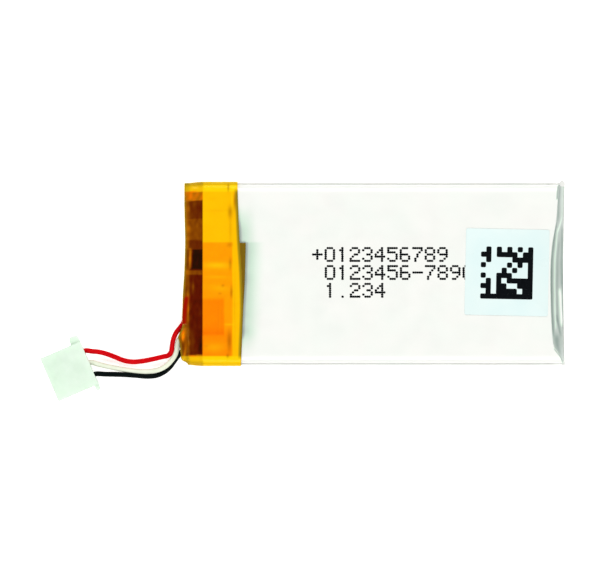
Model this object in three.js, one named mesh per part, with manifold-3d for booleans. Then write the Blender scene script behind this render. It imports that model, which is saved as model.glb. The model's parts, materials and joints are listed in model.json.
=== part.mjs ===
// A small lithium-polymer pouch cell: a wound electrode roll sealed in a laminate pouch, with a
// protection circuit under amber tape at its head, and three short leads to a plug.
// Millimetres. +X runs from the head to the folded end, +Z is up, and the origin is in the
// middle of the cell's underside.

import * as THREE from 'three';
import { mergeVertices } from 'three/addons/utils/BufferGeometryUtils.js';
import Module from 'manifold-3d';

const wasm = await Module();
wasm.setup();

// ---------------------------------------------------------------- driving dimensions

const GAP = 0.01; // clearance between pieces that lie on each other

// the pouch
const FILM = 0.10; // laminate thickness
const POUCH_TOP = 3.88;
const CUP_HALF = 8.66; // half width over the drawn cup's walls
const CUP_HEAD_X = -16.85; // outer face of the cup's head wall
const FOLD_X = 18.46; // the fold along the tail's underside
const TAIL_TOP_X = 17.20; // where the front face ends, at mid width
const TAIL_TOP_CURVE = 0.65; // how much further the front face reaches at the corners
const SHOULDER_R = 0.75; // rounding along the long sides
const TAIL_R = 0.12;
const HEAD_R = 0.35;
const SEAL_HEIGHT = 3.10; // the side seals, folded up against the walls
const SEAL_CUP_Y = 8.84; // outer face of the cup's layer of a side seal
const SEAL_HEAD_X = -16.40;
const FLANGE_TOP = 0.30; // where a side seal leaves the cup's wall
const SEAL_LIFT = 0.01; // the seals' lower edges stand just clear of the underside
const SEAL_TAIL_X = [18.30, 18.50, 17.60]; // the seals' slanted ends: bottom, knee and top
const SEAL_TAIL_HEIGHT = 0.70; // height of the knee
const EAR_X = 18.70; // tips of the two ears at the tail
const EAR_Y = 9.20;
const EAR_ROOT_X = 17.90;
const EAR_ROOT_Z = [0.02, 1.60];
const EAR_TIP_Z = [0.15, 0.55];
const TERRACE_HALF = 8.30;
const TERRACE_HEIGHT = 3.20; // the head seal, folded up against the head wall
const FOOTING_HALF = 7.50; // the cup's flange beneath the head seal
const TAPE_RECESS = 0.08; // the back sheet is this much higher under the tape
const RECESS_X = -12.90;
const RECESS_END_X = -13.20;
const BEYOND = [20, 12, 2]; // past the pouch's end, side and underside, for cuts

// the electrode roll
const ROLL_X = [-16.20, 16.85];
const ROLL_Z = 1.98; // height of its middle plane
const ROLL_HALF_FLAT = 6.60; // half width of the flat stretch of each turn
const CORE_R = 0.26;
const HALF_TURNS = 7; // an odd number ends the roll on its upper face
const CATHODE = 0.11;
const ANODE = 0.12;
const SEPARATOR = 0.025;
const PITCH = CATHODE + ANODE + 2 * SEPARATOR + 4 * GAP;

// the tabs, in the channels that the head seal leaves for them
const TAB = 0.07;
const TAB_WIDTH = 2.0;
const TAB_Y = 4.2;
const TAB_FILM = 0.15; // sealing film, both sides and the tab together
const TAB_FILM_WIDTH = 3.0;
const CHANNEL = 0.16;

// the circuit board, standing on edge at the head
const BOARD_X = [-17.84, -17.49];
const BOARD_HALF = 7.70;
const BOARD_Z = [0.45, 3.45];
const CHIP_HEIGHT = 0.42;
const PLATE = 0.10; // nickel weld plates

// the tape
const TAPE = 0.06;
const TAPE_HALF = 9.08;
const TAPE_TOP = 4.00;
const TAPE_HEAD_X = -18.70;
const TAPE_EDGE_X = -13.16; // the edge on the front face, where it reaches furthest
const TAPE_EDGE_BOW = 0.20; // how far it falls back over half the cell's width
const TAPE_EDGE_CREST_Y = -2.5;
const TAPE_SHOULDER_R = 0.78;
const UNDER_TAPE = 0.03;
const UNDER_TAPE_X = [-16.60, -12.80];
const UNDER_TAPE_START_Y = 3.05;
const UNDER_TAPE_LOW_Z = 0.35;

// the code label
const LABEL_SIZE = [8.2, 8.5];
const LABEL_CENTRE = [12.9, 0.165];
const LABEL_THICK = 0.05;
const LABEL_TURN = THREE.MathUtils.degToRad(-1.2);

// the leads and the plug
const LEAD_R = 0.25;
const STRAND_R = 0.15;
const LEAD_SIDES = 8;
const LEAD_WINDOW_Y = [-8.0, -2.2]; // where the tape lets the leads out
const LEAD_WINDOW_Z = [0.60, 2.90];
const PLUG_REAR = [-28.19, -8.75]; // middle of the face that the leads enter
const PLUG_TURN = THREE.MathUtils.degToRad(203.3); // the way the plug points
const PLUG_DEPTH = 4.28;
const PLUG_HALF = 2.30;
const PLUG_HEIGHT = 2.20;
const PLUG_PITCH = 1.25;
const CAVITY_Z = PLUG_HEIGHT / 2;

// ---------------------------------------------------------------- finishes

function finish(color, roughness, metalness) {
  return new THREE.MeshStandardMaterial({ color, roughness, metalness });
}

const FINISH = {
  laminate: finish(0xf0f4ef, 0.42, 0.35),
  cathode: finish(0x2a2a2c, 0.85, 0.05),
  anode: finish(0x3a342f, 0.85, 0.05),
  separator: finish(0xf4f4f0, 0.60, 0.0),
  rollTape: finish(0x3f8f5a, 0.45, 0.0),
  aluminium: finish(0xcfd2d4, 0.35, 1.0),
  nickel: finish(0xb9b6ad, 0.32, 1.0),
  tabFilm: finish(0x1c1c1e, 0.55, 0.0),
  fibre: finish(0x33261f, 0.80, 0.0),
  board: finish(0x4a2418, 0.45, 0.0),
  chip: finish(0x17171a, 0.50, 0.0),
  ceramic: finish(0x8a6f4e, 0.60, 0.0),
  solder: finish(0xc4c6c8, 0.25, 1.0),
  contact: finish(0xc9bb94, 0.30, 1.0),
  nylon: finish(0xe9f3e4, 0.50, 0.0),
  amber: finish(0xffc012, 0.22, 0.0),
  darkAmber: finish(0x9a7a18, 0.25, 0.0),
  label: finish(0xedfbf9, 0.38, 0.0),
  red: finish(0xd00c14, 0.35, 0.0),
  white: finish(0xeef5e4, 0.35, 0.0),
  black: finish(0x101314, 0.35, 0.0),
};

// ---------------------------------------------------------------- geometry helpers

/** A closed geometry as a manifold solid. */
function solidOf(geometry) {
  const bare = geometry.clone();
  bare.deleteAttribute('normal');
  bare.deleteAttribute('uv');
  const merged = mergeVertices(bare, 1e-5);
  const vertProperties = new Float32Array(merged.attributes.position.array);
  const triVerts = new Uint32Array(merged.index.array);
  return new wasm.Manifold(new wasm.Mesh({ numProp: 3, vertProperties, triVerts }));
}

/** A manifold solid as a geometry. */
function geometryOf(solid) {
  const { vertProperties, triVerts } = solid.getMesh();
  const geometry = new THREE.BufferGeometry();
  geometry.setAttribute('position', new THREE.BufferAttribute(vertProperties, 3));
  geometry.setIndex(new THREE.BufferAttribute(triVerts, 1));
  geometry.computeVertexNormals();
  return geometry;
}

/** The first geometry, with others joined to it and then others cut from it. */
function combine(base, { join = [], cut = [] }) {
  let solid = solidOf(base);
  for (const piece of join) solid = solid.add(solidOf(piece));
  for (const piece of cut) solid = solid.subtract(solidOf(piece));
  return geometryOf(solid);
}

/** A box between two corners. */
function box([x0, x1], [y0, y1], [z0, z1]) {
  const geometry = new THREE.BoxGeometry(x1 - x0, y1 - y0, z1 - z0);
  return geometry.translate((x0 + x1) / 2, (y0 + y1) / 2, (z0 + z1) / 2);
}

/** An outline in X and Z, extruded from y0 to y1. */
function extrudeAcross(outline, [y0, y1]) {
  const shape = new THREE.Shape(outline.map(([x, z]) => new THREE.Vector2(x, z)));
  const geometry = new THREE.ExtrudeGeometry(shape, { depth: y1 - y0, bevelEnabled: false });
  return geometry.rotateX(Math.PI / 2).translate(0, y1, 0);
}

/** An outline in Y and Z, extruded from x0 to x1. */
function extrudeAlong(outline, [x0, x1]) {
  const shape = new THREE.Shape(outline.map(([y, z]) => new THREE.Vector2(y, z)));
  const geometry = new THREE.ExtrudeGeometry(shape, { depth: x1 - x0, bevelEnabled: false });
  return geometry.rotateX(Math.PI / 2).rotateZ(Math.PI / 2).translate(x0, 0, 0);
}

/** The outline of a strip of the given thickness along a bent centre line, with mitred bends. */
function stripOutline(line, thickness) {
  const points = line.map(([a, b]) => new THREE.Vector2(a, b));
  const near = [];
  const far = [];
  points.forEach((point, i) => {
    const before = points[Math.max(i - 1, 0)];
    const after = points[Math.min(i + 1, points.length - 1)];
    const into = point.clone().sub(before);
    const out = after.clone().sub(point);
    if (i === 0) into.copy(out);
    if (i === points.length - 1) out.copy(into);
    const side = into.normalize().clone().add(out.normalize()).normalize();
    const mitre = (thickness / 2) / Math.max(side.dot(out), 0.3);
    const normal = new THREE.Vector2(-side.y, side.x).multiplyScalar(mitre);
    near.push(point.clone().add(normal));
    far.push(point.clone().sub(normal));
  });
  return [...near, ...far.reverse()].map((p) => [p.x, p.y]);
}

/** A closed skin over rings of equal point counts, each counter-clockwise seen from the last. */
function loft(rings) {
  const count = rings[0].length;
  const positions = rings.flat(2);
  const index = [];
  for (let r = 0; r + 1 < rings.length; r++) {
    for (let i = 0; i < count; i++) {
      const a = r * count + i;
      const b = r * count + ((i + 1) % count);
      index.push(a, b, b + count, a, b + count, a + count);
    }
  }
  const last = (rings.length - 1) * count;
  for (let i = 1; i + 1 < count; i++) {
    index.push(0, i + 1, i);
    index.push(last, last + i, last + i + 1);
  }
  const geometry = new THREE.BufferGeometry();
  geometry.setAttribute('position', new THREE.Float32BufferAttribute(positions, 3));
  geometry.setIndex(index);
  return geometry;
}

const part = new THREE.Group();

/** Adds a named mesh to a group, the part itself unless another is given. */
function add(name, geometry, material, group = part) {
  const mesh = new THREE.Mesh(geometry, material);
  mesh.name = name;
  group.add(mesh);
  return mesh;
}

// ---------------------------------------------------------------- the pouch

/** How far a rounded edge of radius r has turned in, at a distance below the top. */
function roundIn(r, below) {
  if (below >= r) return 0;
  return r - Math.sqrt(r * r - (r - below) ** 2);
}

/** X of the sloping tail wall's outer face. */
function tailX(y, z) {
  const across = Math.abs(y) / CUP_HALF;
  const bottom = FOLD_X + 0.10 * across ** 2;
  const top = TAIL_TOP_X + TAIL_TOP_CURVE * across ** 2.2;
  return THREE.MathUtils.lerp(bottom, top, z / POUCH_TOP);
}

const TAIL_STEPS = [-1, -0.85, -0.6, -0.3, 0, 0.3, 0.6, 0.85, 1];
const HEAD_CORNER_R = 0.7;
const HEAD_CORNER_STEPS = 4;

/** One level outline of the drawn cup, inset by a wall thickness. */
function cupRing(z, inset) {
  const below = POUCH_TOP - inset - z;
  const half = CUP_HALF - inset - roundIn(SHOULDER_R - inset, below);
  const headX = CUP_HEAD_X + inset + roundIn(HEAD_R - inset, below);
  const tailIn = inset + roundIn(TAIL_R, below);
  const ring = TAIL_STEPS.map((step) => {
    const y = step * half;
    return [tailX(y, Math.min(z, POUCH_TOP)) - tailIn, y, z];
  });
  for (const side of [1, -1]) {
    for (let i = 0; i <= HEAD_CORNER_STEPS; i++) {
      const turn = (i / HEAD_CORNER_STEPS) * (Math.PI / 2);
      const angle = side > 0 ? turn : Math.PI / 2 - turn;
      const x = headX + HEAD_CORNER_R * (1 - Math.sin(angle));
      ring.push([x, side * (half - HEAD_CORNER_R * (1 - Math.cos(angle))), z]);
    }
  }
  return ring;
}

/** The closed body of the cup's outer or inner form, from a level up to its rounded top. */
function cupBody(fromZ, inset) {
  const top = POUCH_TOP - inset;
  const levels = [SHOULDER_R, 0.55, 0.35, 0.20, 0.10, 0.03, 0].map((below) => top - below);
  return loft([fromZ, ...levels].map((z) => cupRing(z, inset)));
}

/** The room that the back sheet takes below the cup, with the step under the tape. */
function underCup() {
  const plain = FILM + GAP;
  const raised = plain + TAPE_RECESS;
  const [endX, sideY, below] = BEYOND;
  const top = [[endX, plain], [RECESS_X, plain], [RECESS_END_X, raised], [-endX, raised]];
  return extrudeAcross([[endX, -below], ...top, [-endX, -below]], [-sideY, sideY]);
}

const SEAL_FLOOR = FILM + TAPE_RECESS + GAP; // underside of the cup at the head
const TERRACE_X = CUP_HEAD_X - 0.03 - FILM; // outer face of the cup's own layer there
const CHANNEL_X = TERRACE_X - CHANNEL;
const tabSides = { positive: TAB_Y, negative: -TAB_Y };

/** The channels through the head seal that the tabs and their films lie in. */
function tabChannels() {
  const half = TAB_FILM_WIDTH / 2 + 2 * GAP;
  return Object.values(tabSides).flatMap((y) => [
    box([CHANNEL_X - 1, TERRACE_X], [y - half, y + half], [-1, 4]),
    box([CHANNEL_X - 1, CUP_HEAD_X + 0.2], [y - half, y + half], [-1, SEAL_FLOOR + CHANNEL]),
  ]);
}

function frontCup() {
  const sideSeals = [1, -1].map((side) => {
    const foot = [[CUP_HALF - FILM, 0], [SEAL_CUP_Y, 0], [SEAL_CUP_Y, SEAL_HEIGHT]];
    const wall = [
      [SEAL_CUP_Y - FILM, SEAL_HEIGHT],
      [SEAL_CUP_Y - FILM, FLANGE_TOP],
      [CUP_HALF - FILM, FLANGE_TOP],
    ];
    const outline = [...foot, ...wall].map(([y, z]) => [side * y, z]);
    return extrudeAlong(outline, [SEAL_HEAD_X, FOLD_X]);
  });
  const terraceY = [-TERRACE_HALF, TERRACE_HALF];
  const terrace = box([CHANNEL_X, TERRACE_X + FILM], terraceY, [0, TERRACE_HEIGHT]);
  const footingY = [-FOOTING_HALF, FOOTING_HALF];
  const footing = box([CHANNEL_X, CUP_HEAD_X + FILM], footingY, [0, SEAL_FLOOR + CHANNEL]);
  return combine(cupBody(-0.5, 0), {
    join: [...sideSeals, terrace, footing],
    cut: [underCup(), cupBody(-1, FILM), ...tabChannels()],
  });
}

function backSheet() {
  const raised = FILM / 2 + TAPE_RECESS;
  const sheetHalf = SEAL_CUP_Y + GAP + FILM;
  const layerX = CHANNEL_X - GAP - FILM / 2;
  const sheet = extrudeAcross(
    stripOutline(
      [[FOLD_X, FILM / 2], [RECESS_X, FILM / 2], [RECESS_END_X, raised], [SEAL_HEAD_X, raised]],
      FILM,
    ),
    [-sheetHalf, sheetHalf],
  );
  const terrace = extrudeAcross(
    stripOutline([[SEAL_HEAD_X + 0.2, raised], [layerX, raised], [layerX, TERRACE_HEIGHT]], FILM),
    [-TERRACE_HALF, TERRACE_HALF],
  );
  const sideOutline = [
    [SEAL_HEAD_X, TAPE_RECESS + SEAL_LIFT],
    [RECESS_END_X, TAPE_RECESS + SEAL_LIFT],
    [RECESS_X, SEAL_LIFT],
    [SEAL_TAIL_X[0], SEAL_LIFT],
    [SEAL_TAIL_X[1], SEAL_TAIL_HEIGHT],
    [SEAL_TAIL_X[2], SEAL_HEIGHT],
    [SEAL_HEAD_X, SEAL_HEIGHT],
  ];
  const layers = [1, -1].flatMap((side) => {
    const inner = side * (sheetHalf - FILM);
    const outer = side * sheetHalf;
    const wall = extrudeAcross(sideOutline, [Math.min(inner, outer), Math.max(inner, outer)]);
    const earRing = (x, y, low, high) => {
      const ring = [[x, y, low], [x, y + side * FILM, low], [x, y + side * FILM, high], [x, y, high]];
      return side > 0 ? ring : ring.reverse();
    };
    const ear = loft([
      earRing(EAR_ROOT_X, inner, ...EAR_ROOT_Z),
      earRing(EAR_X, side * (EAR_Y - FILM), ...EAR_TIP_Z),
    ]);
    return [wall, ear];
  });
  return combine(sheet, { join: [terrace, ...layers] });
}

add('pouch_front_cup', frontCup(), FINISH.laminate);
add('pouch_back_sheet', backSheet(), FINISH.laminate);

// ---------------------------------------------------------------- the electrode roll

const ARC_STEPS = 6; // per half turn

/** Points of one flat spiral that starts at a radius, ordered from the core outwards. */
function spiral(startR) {
  const points = [];
  for (let half = 0; half < HALF_TURNS; half++) {
    const centre = half % 2 === 0 ? ROLL_HALF_FLAT : -ROLL_HALF_FLAT;
    for (let i = 0; i <= ARC_STEPS; i++) {
      const turned = half + i / ARC_STEPS;
      const angle = (turned - 0.5) * Math.PI;
      const r = startR + PITCH * (turned / 2);
      points.push([centre + r * Math.cos(angle), ROLL_Z + r * Math.sin(angle)]);
    }
  }
  return points;
}

/** One layer of the roll, between two spirals a thickness apart. */
function rollLayer(startR, thickness) {
  const outline = [...spiral(startR + thickness), ...spiral(startR).reverse()];
  return extrudeAlong(outline, ROLL_X);
}

const rollLayers = [
  ['inner_separator', SEPARATOR, FINISH.separator],
  ['cathode_winding', CATHODE, FINISH.cathode],
  ['outer_separator', SEPARATOR, FINISH.separator],
  ['anode_winding', ANODE, FINISH.anode],
];
let layerR = CORE_R;
for (const [name, thickness, material] of rollLayers) {
  add(name, rollLayer(layerR, thickness), material);
  layerR += thickness + GAP;
}

/** The strip of tape that holds the roll's outer end down, from the last turn to the one before. */
function rollEndTape() {
  const thickness = 0.025;
  const tilt = Math.PI / 6; // how far round the turn it starts
  const step = [0.3, 0.8]; // where it goes down past the last turn's end
  const reach = 5.0;
  const endGap = 0.5;
  const outerR = CORE_R + PITCH * (HALF_TURNS / 2 + 1) + thickness / 2 + GAP;
  const lowerR = outerR - PITCH;
  const line = [
    [ROLL_HALF_FLAT + outerR * Math.sin(tilt), ROLL_Z + outerR * Math.cos(tilt)],
    [ROLL_HALF_FLAT, ROLL_Z + outerR],
    [ROLL_HALF_FLAT - step[0], ROLL_Z + outerR],
    [ROLL_HALF_FLAT - step[1], ROLL_Z + lowerR],
    [ROLL_HALF_FLAT - reach, ROLL_Z + lowerR],
  ];
  return extrudeAlong(stripOutline(line, thickness), [ROLL_X[0] + endGap, ROLL_X[1] - endGap]);
}

add('roll_end_tape', rollEndTape(), FINISH.rollTape);

// ---------------------------------------------------------------- the tabs

const CHANNEL_MID_X = TERRACE_X - CHANNEL / 2;
const CHANNEL_MID_Z = SEAL_FLOOR + CHANNEL / 2;
const TAB_BACK_X = BOARD_X[1] + GAP + PLATE + GAP + TAB / 2; // the run that the plate is welded to
const TAB_RISE = 0.16; // how far a tab clears the head seal's edge
const TAB_FILM_RISE = 0.06;
const PLATE_HALF = 1.3;
const PLATE_Z = [1.0, 2.9];

// from the roll's core, down to the seal, up through it, over its edge and down to the plate
const TAB_LINE = [
  [-12.0, ROLL_Z],
  [-16.35, ROLL_Z],
  [-16.58, 1.60],
  [-16.66, 0.40],
  [-16.74, CHANNEL_MID_Z],
  [CHANNEL_MID_X, CHANNEL_MID_Z],
  [CHANNEL_MID_X, TERRACE_HEIGHT + TAB_RISE],
  [TAB_BACK_X, TERRACE_HEIGHT + TAB_RISE],
  [TAB_BACK_X, 1.30],
];
const TAB_FILM_LINE = [
  [-16.82, CHANNEL_MID_Z],
  [CHANNEL_MID_X, CHANNEL_MID_Z],
  [CHANNEL_MID_X, TERRACE_HEIGHT + TAB_FILM_RISE],
];

function tabStrip(line, thickness, y, width) {
  return extrudeAcross(stripOutline(line, thickness), [y - width / 2, y + width / 2]);
}

for (const [pole, y] of Object.entries(tabSides)) {
  const metal = pole === 'positive' ? FINISH.aluminium : FINISH.nickel;
  add(`${pole}_tab`, tabStrip(TAB_LINE, TAB, y, TAB_WIDTH), metal);
  const room = tabStrip(TAB_LINE, TAB + GAP, y, TAB_WIDTH + 2 * GAP);
  const film = tabStrip(TAB_FILM_LINE, TAB_FILM, y, TAB_FILM_WIDTH);
  add(`${pole}_tab_sealing_film`, combine(film, { cut: [room] }), FINISH.tabFilm);
  const plateX = [BOARD_X[1] + GAP, BOARD_X[1] + GAP + PLATE];
  add(`${pole}_weld_plate`, box(plateX, [y - PLATE_HALF, y + PLATE_HALF], PLATE_Z), FINISH.nickel);
}

/** The insulating strip over the raw edge of the folded-up head seal. */
function terraceInsulator() {
  const thickness = 0.03;
  const half = 8.0;
  const bottom = 0.50;
  const outer = CHANNEL_X - 2 * GAP - FILM - thickness / 2;
  const lip = TERRACE_HEIGHT + GAP + thickness / 2;
  const line = [[outer, bottom], [outer, lip], [CHANNEL_X - GAP, lip]];
  return extrudeAcross(stripOutline(line, thickness), [-half, half]);
}

add('terrace_insulator', terraceInsulator(), FINISH.fibre);

// ---------------------------------------------------------------- the protection circuit

const BOARD_FACE = BOARD_X[0] - GAP; // where parts sit on the board's outer face

add('protection_board', box(BOARD_X, [-BOARD_HALF, BOARD_HALF], BOARD_Z), FINISH.board);

/** A moulded chip with a row of legs above and below it. */
function chip([y0, y1], [z0, z1], legs) {
  const standoff = 0.04;
  const sheet = 0.10;
  const reach = 0.18; // how far the legs stand out from the body
  const shoulder = 0.22; // how high they leave it
  const body = box([BOARD_FACE - CHIP_HEIGHT, BOARD_FACE - standoff], [y0, y1], [z0, z1]);
  const spacing = (y1 - y0) / legs;
  const legHalf = spacing / 4;
  const join = [];
  for (let i = 0; i < legs; i++) {
    const y = y0 + (i + 0.5) * spacing;
    const legY = [y - legHalf, y + legHalf];
    const run = [BOARD_FACE - shoulder, BOARD_FACE - shoulder + sheet];
    join.push(box(run, legY, [z0 - reach, z1 + reach]));
    for (const z of [z0 - reach, z1 + reach - sheet]) {
      join.push(box([run[0] + sheet / 4, BOARD_FACE], legY, [z, z + sheet]));
    }
  }
  return combine(body, { join });
}

/** A ceramic chip part with its two end caps standing a little proud. */
function smallPart([y0, y1], [z0, z1], height) {
  const cap = 0.22;
  const proud = 0.02;
  const inset = 0.10; // how far the body stops short of each cap's face
  const bodyX = [BOARD_FACE - height, BOARD_FACE - proud];
  const body = box(bodyX, [y0 + inset, y1 - inset], [z0, z1]);
  const caps = [[y0, y0 + cap], [y1 - cap, y1]].map((capY) =>
    box([BOARD_FACE - height - proud, BOARD_FACE], capY, [z0 - proud, z1 + proud]));
  return combine(body, { join: caps });
}

// each part's place across the board and up it, and its number of legs or its height
const CHIPS = {
  power_mosfet: [[5.50, 7.40], [1.05, 2.85], 4],
  protection_ic: [[0.40, 2.50], [1.10, 2.70], 3],
};
const SMALL_PARTS = {
  sense_resistor: [[4.30, 5.25], [2.45, 2.95], 0.30, FINISH.chip],
  filter_capacitor: [[3.05, 4.00], [2.45, 2.95], 0.38, FINISH.ceramic],
  thermistor: [[-7.35, -6.35], [2.55, 3.05], 0.38, FINISH.ceramic],
};
for (const [name, [y, z, legs]] of Object.entries(CHIPS)) {
  add(name, chip(y, z, legs), FINISH.chip);
}
for (const [name, [y, z, height, material]] of Object.entries(SMALL_PARTS)) {
  add(name, smallPart(y, z, height), material);
}

// ---------------------------------------------------------------- the leads

/** A point in the plug's own axes, in the part's. */
function fromPlug(x, y, z) {
  const cos = Math.cos(PLUG_TURN);
  const sin = Math.sin(PLUG_TURN);
  return [PLUG_REAR[0] + x * cos - y * sin, PLUG_REAR[1] + x * sin + y * cos, z];
}

const ENTRY = [-0.12, 0.25]; // where a lead passes the plug's rear face, along the plug
const INSULATION_END = 0.80; // how far the insulation reaches into the plug

// Each lead's free route, from its solder joint to just short of the plug.
const LEADS = {
  red: {
    material: FINISH.red,
    row: -PLUG_PITCH,
    pad: [-0.95, 2.55],
    route: [
      [-18.12, -1.55, 2.55],
      [-18.20, -2.10, 2.55],
      [-18.50, -2.75, 2.52],
      [-18.68, -3.45, 2.46],
      [-18.76, -4.15, 2.38],
      [-18.88, -4.75, 2.28],
      [-19.24, -5.28, 2.14],
      [-19.66, -5.82, 1.96],
      [-19.92, -6.45, 1.74],
      [-20.04, -7.10, 1.48],
      [-20.14, -7.68, 1.24],
      [-20.42, -8.02, 1.06],
      [-21.00, -8.17, 0.88],
      [-21.90, -8.38, 0.62],
      [-22.90, -8.58, 0.38],
      [-23.95, -8.67, 0.28],
      [-24.85, -8.52, 0.32],
      [-25.70, -8.18, 0.48],
      [-26.50, -7.88, 0.72],
      [-27.25, -7.69, 0.94],
      [-27.95, -7.62, 1.06],
    ],
  },
  white: {
    material: FINISH.white,
    row: 0,
    pad: [-2.90, 1.85],
    route: [
      [-18.12, -3.50, 1.85],
      [-18.13, -4.40, 1.85],
      [-18.38, -5.25, 1.84],
      [-18.98, -5.95, 1.78],
      [-19.42, -6.60, 1.64],
      [-19.54, -7.25, 1.44],
      [-19.72, -7.90, 1.22],
      [-20.12, -8.52, 1.00],
      [-20.70, -9.08, 0.78],
      [-21.42, -9.44, 0.58],
      [-22.30, -9.60, 0.38],
      [-23.30, -9.60, 0.28],
      [-24.40, -9.48, 0.30],
      [-25.50, -9.30, 0.50],
      [-26.50, -9.10, 0.80],
      [-27.25, -8.92, 1.00],
    ],
  },
  black: {
    material: FINISH.black,
    row: PLUG_PITCH,
    pad: [-4.75, 1.15],
    route: [
      [-18.12, -5.35, 1.15],
      [-18.14, -6.10, 1.15],
      [-18.42, -6.80, 1.10],
      [-18.90, -7.38, 0.98],
      [-19.36, -7.94, 0.80],
      [-19.80, -8.54, 0.58],
      [-20.24, -9.14, 0.40],
      [-20.78, -9.62, 0.29],
      [-21.50, -9.98, 0.26],
      [-22.40, -10.10, 0.27],
      [-23.50, -10.02, 0.28],
      [-24.60, -9.94, 0.40],
      [-25.70, -9.90, 0.62],
      [-26.60, -9.88, 0.88],
    ],
  },
};

/** A round section to sweep, with a set number of sides. */
function roundSection(r) {
  const shape = new THREE.Shape();
  for (let i = 0; i < LEAD_SIDES; i++) {
    const angle = (i + 0.5) * 2 * Math.PI / LEAD_SIDES;
    const point = [r * Math.cos(angle), r * Math.sin(angle)];
    if (i === 0) shape.moveTo(...point);
    else shape.lineTo(...point);
  }
  shape.closePath();
  return shape;
}

/** A round bar along a smooth curve through points. */
function sweep(points, r, steps) {
  const path = new THREE.CatmullRomCurve3(points.map((p) => new THREE.Vector3(...p)), false);
  return new THREE.ExtrudeGeometry(roundSection(r), { steps, extrudePath: path, curveSegments: 1 });
}

const SOLDER_DOME = [0.52, 0.64, 0.32]; // its half sizes

/** The dome of solder over a lead's tinned end, on the board. */
function solderJoint([y, z], tinned) {
  const dome = new THREE.SphereGeometry(1, 12, 8).scale(...SOLDER_DOME);
  dome.translate(BOARD_FACE, y, z);
  const boardSide = box([BOARD_FACE, BOARD_FACE + 2], [y - 2, y + 2], [z - 2, z + 2]);
  return combine(dome, { cut: [boardSide, tinned] });
}

const LEAD_STEPS = 28;
const TINNED = 1.05; // length of a lead's tinned end
const STRIPPED_TO = 1.75; // how far its stripped end reaches into the plug
for (const [colour, { material, row, pad, route }] of Object.entries(LEADS)) {
  const entry = [...ENTRY, INSULATION_END].map((x) => fromPlug(x, row, CAVITY_Z));
  add(`${colour}_lead`, sweep([...route, ...entry], LEAD_R, LEAD_STEPS), material);

  const [leadX, leadY, leadZ] = route[0];
  const tinnedTo = leadY + TINNED;
  const tinnedLine = [[leadX, leadY + GAP, leadZ], [leadX, tinnedTo, leadZ]];
  add(`${colour}_tinned_end`, sweep(tinnedLine, STRAND_R, 1), FINISH.solder);
  const roomLine = [[leadX, leadY - 0.3, leadZ], [leadX, tinnedTo + GAP, leadZ]];
  const room = sweep(roomLine, STRAND_R + GAP, 1);
  add(`${colour}_solder_joint`, solderJoint(pad, room), FINISH.solder);

  const strands = [INSULATION_END + GAP, STRIPPED_TO].map((x) => fromPlug(x, row, CAVITY_Z));
  add(`${colour}_stripped_end`, sweep(strands, STRAND_R, 1), FINISH.solder);
}

// ---------------------------------------------------------------- the plug

const plug = new THREE.Group();
plug.position.set(PLUG_REAR[0], PLUG_REAR[1], 0);
plug.rotation.z = PLUG_TURN;
part.add(plug);

const CAVITY_HALF = 0.47;
const CAVITY_DEPTH = 2.50;
const MOUTH_HALF = 0.38; // the square mouth that the mating pin enters
const CAVITY_HEIGHTS = [0.38, 1.82];
const EAR_HEIGHTS = [0.35, 1.85]; // of the two ears beside the rear face
const LARGE_EAR = { x: [0.0, 0.97], reach: 0.74, r: 0.30 };
const SMALL_EAR = { x: [0.0, 0.42], reach: 0.56, r: 0.18 };
const LANCE_X = [1.35, 2.25]; // the slots under which the contacts latch
const LANCE_HALF = 0.25;
const LANCE_TOP = 0.5;
const plugRows = [-PLUG_PITCH, 0, PLUG_PITCH];

/** An outline in X and Y, extruded from z0 to z1. */
function extrudeUp(outline, [z0, z1]) {
  const shape = new THREE.Shape(outline.map(([x, y]) => new THREE.Vector2(x, y)));
  const geometry = new THREE.ExtrudeGeometry(shape, { depth: z1 - z0, bevelEnabled: false });
  return geometry.translate(0, 0, z0);
}

/** The plan of an ear that stands out of one side of the plug, with its outer corners rounded. */
function earOutline({ x: [x0, x1], reach, r }, side) {
  const root = PLUG_HALF - 0.1;
  const tip = PLUG_HALF + reach;
  const outline = [[x0, side * root]];
  for (const [cx, from] of [[x0 + r, Math.PI], [x1 - r, Math.PI / 2]]) {
    for (let i = 0; i <= 4; i++) {
      const angle = from - (i / 4) * (Math.PI / 2);
      outline.push([cx + r * Math.cos(angle), side * (tip - r + r * Math.sin(angle))]);
    }
  }
  return [...outline, [x1, side * root]];
}

function plugHousing() {
  const chamfer = 0.14;
  const body = [
    [-PLUG_HALF + chamfer, 0], [PLUG_HALF - chamfer, 0],
    [PLUG_HALF, chamfer], [PLUG_HALF, PLUG_HEIGHT - chamfer],
    [PLUG_HALF - chamfer, PLUG_HEIGHT], [-PLUG_HALF + chamfer, PLUG_HEIGHT],
    [-PLUG_HALF, PLUG_HEIGHT - chamfer], [-PLUG_HALF, chamfer],
  ];
  const ears = [
    extrudeUp(earOutline(LARGE_EAR, -1), EAR_HEIGHTS),
    extrudeUp(earOutline(SMALL_EAR, 1), EAR_HEIGHTS),
  ];
  const cut = plugRows.flatMap((y) => [
    box([-1, CAVITY_DEPTH], [y - CAVITY_HALF, y + CAVITY_HALF], CAVITY_HEIGHTS),
    box(
      [CAVITY_DEPTH - 0.1, PLUG_DEPTH + 1],
      [y - MOUTH_HALF, y + MOUTH_HALF],
      [CAVITY_Z - MOUTH_HALF, CAVITY_Z + MOUTH_HALF],
    ),
    box(LANCE_X, [y - LANCE_HALF, y + LANCE_HALF], [-1, LANCE_TOP]),
  ]);
  return combine(extrudeAlong(body, [0, PLUG_DEPTH]), { join: ears, cut });
}

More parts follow.
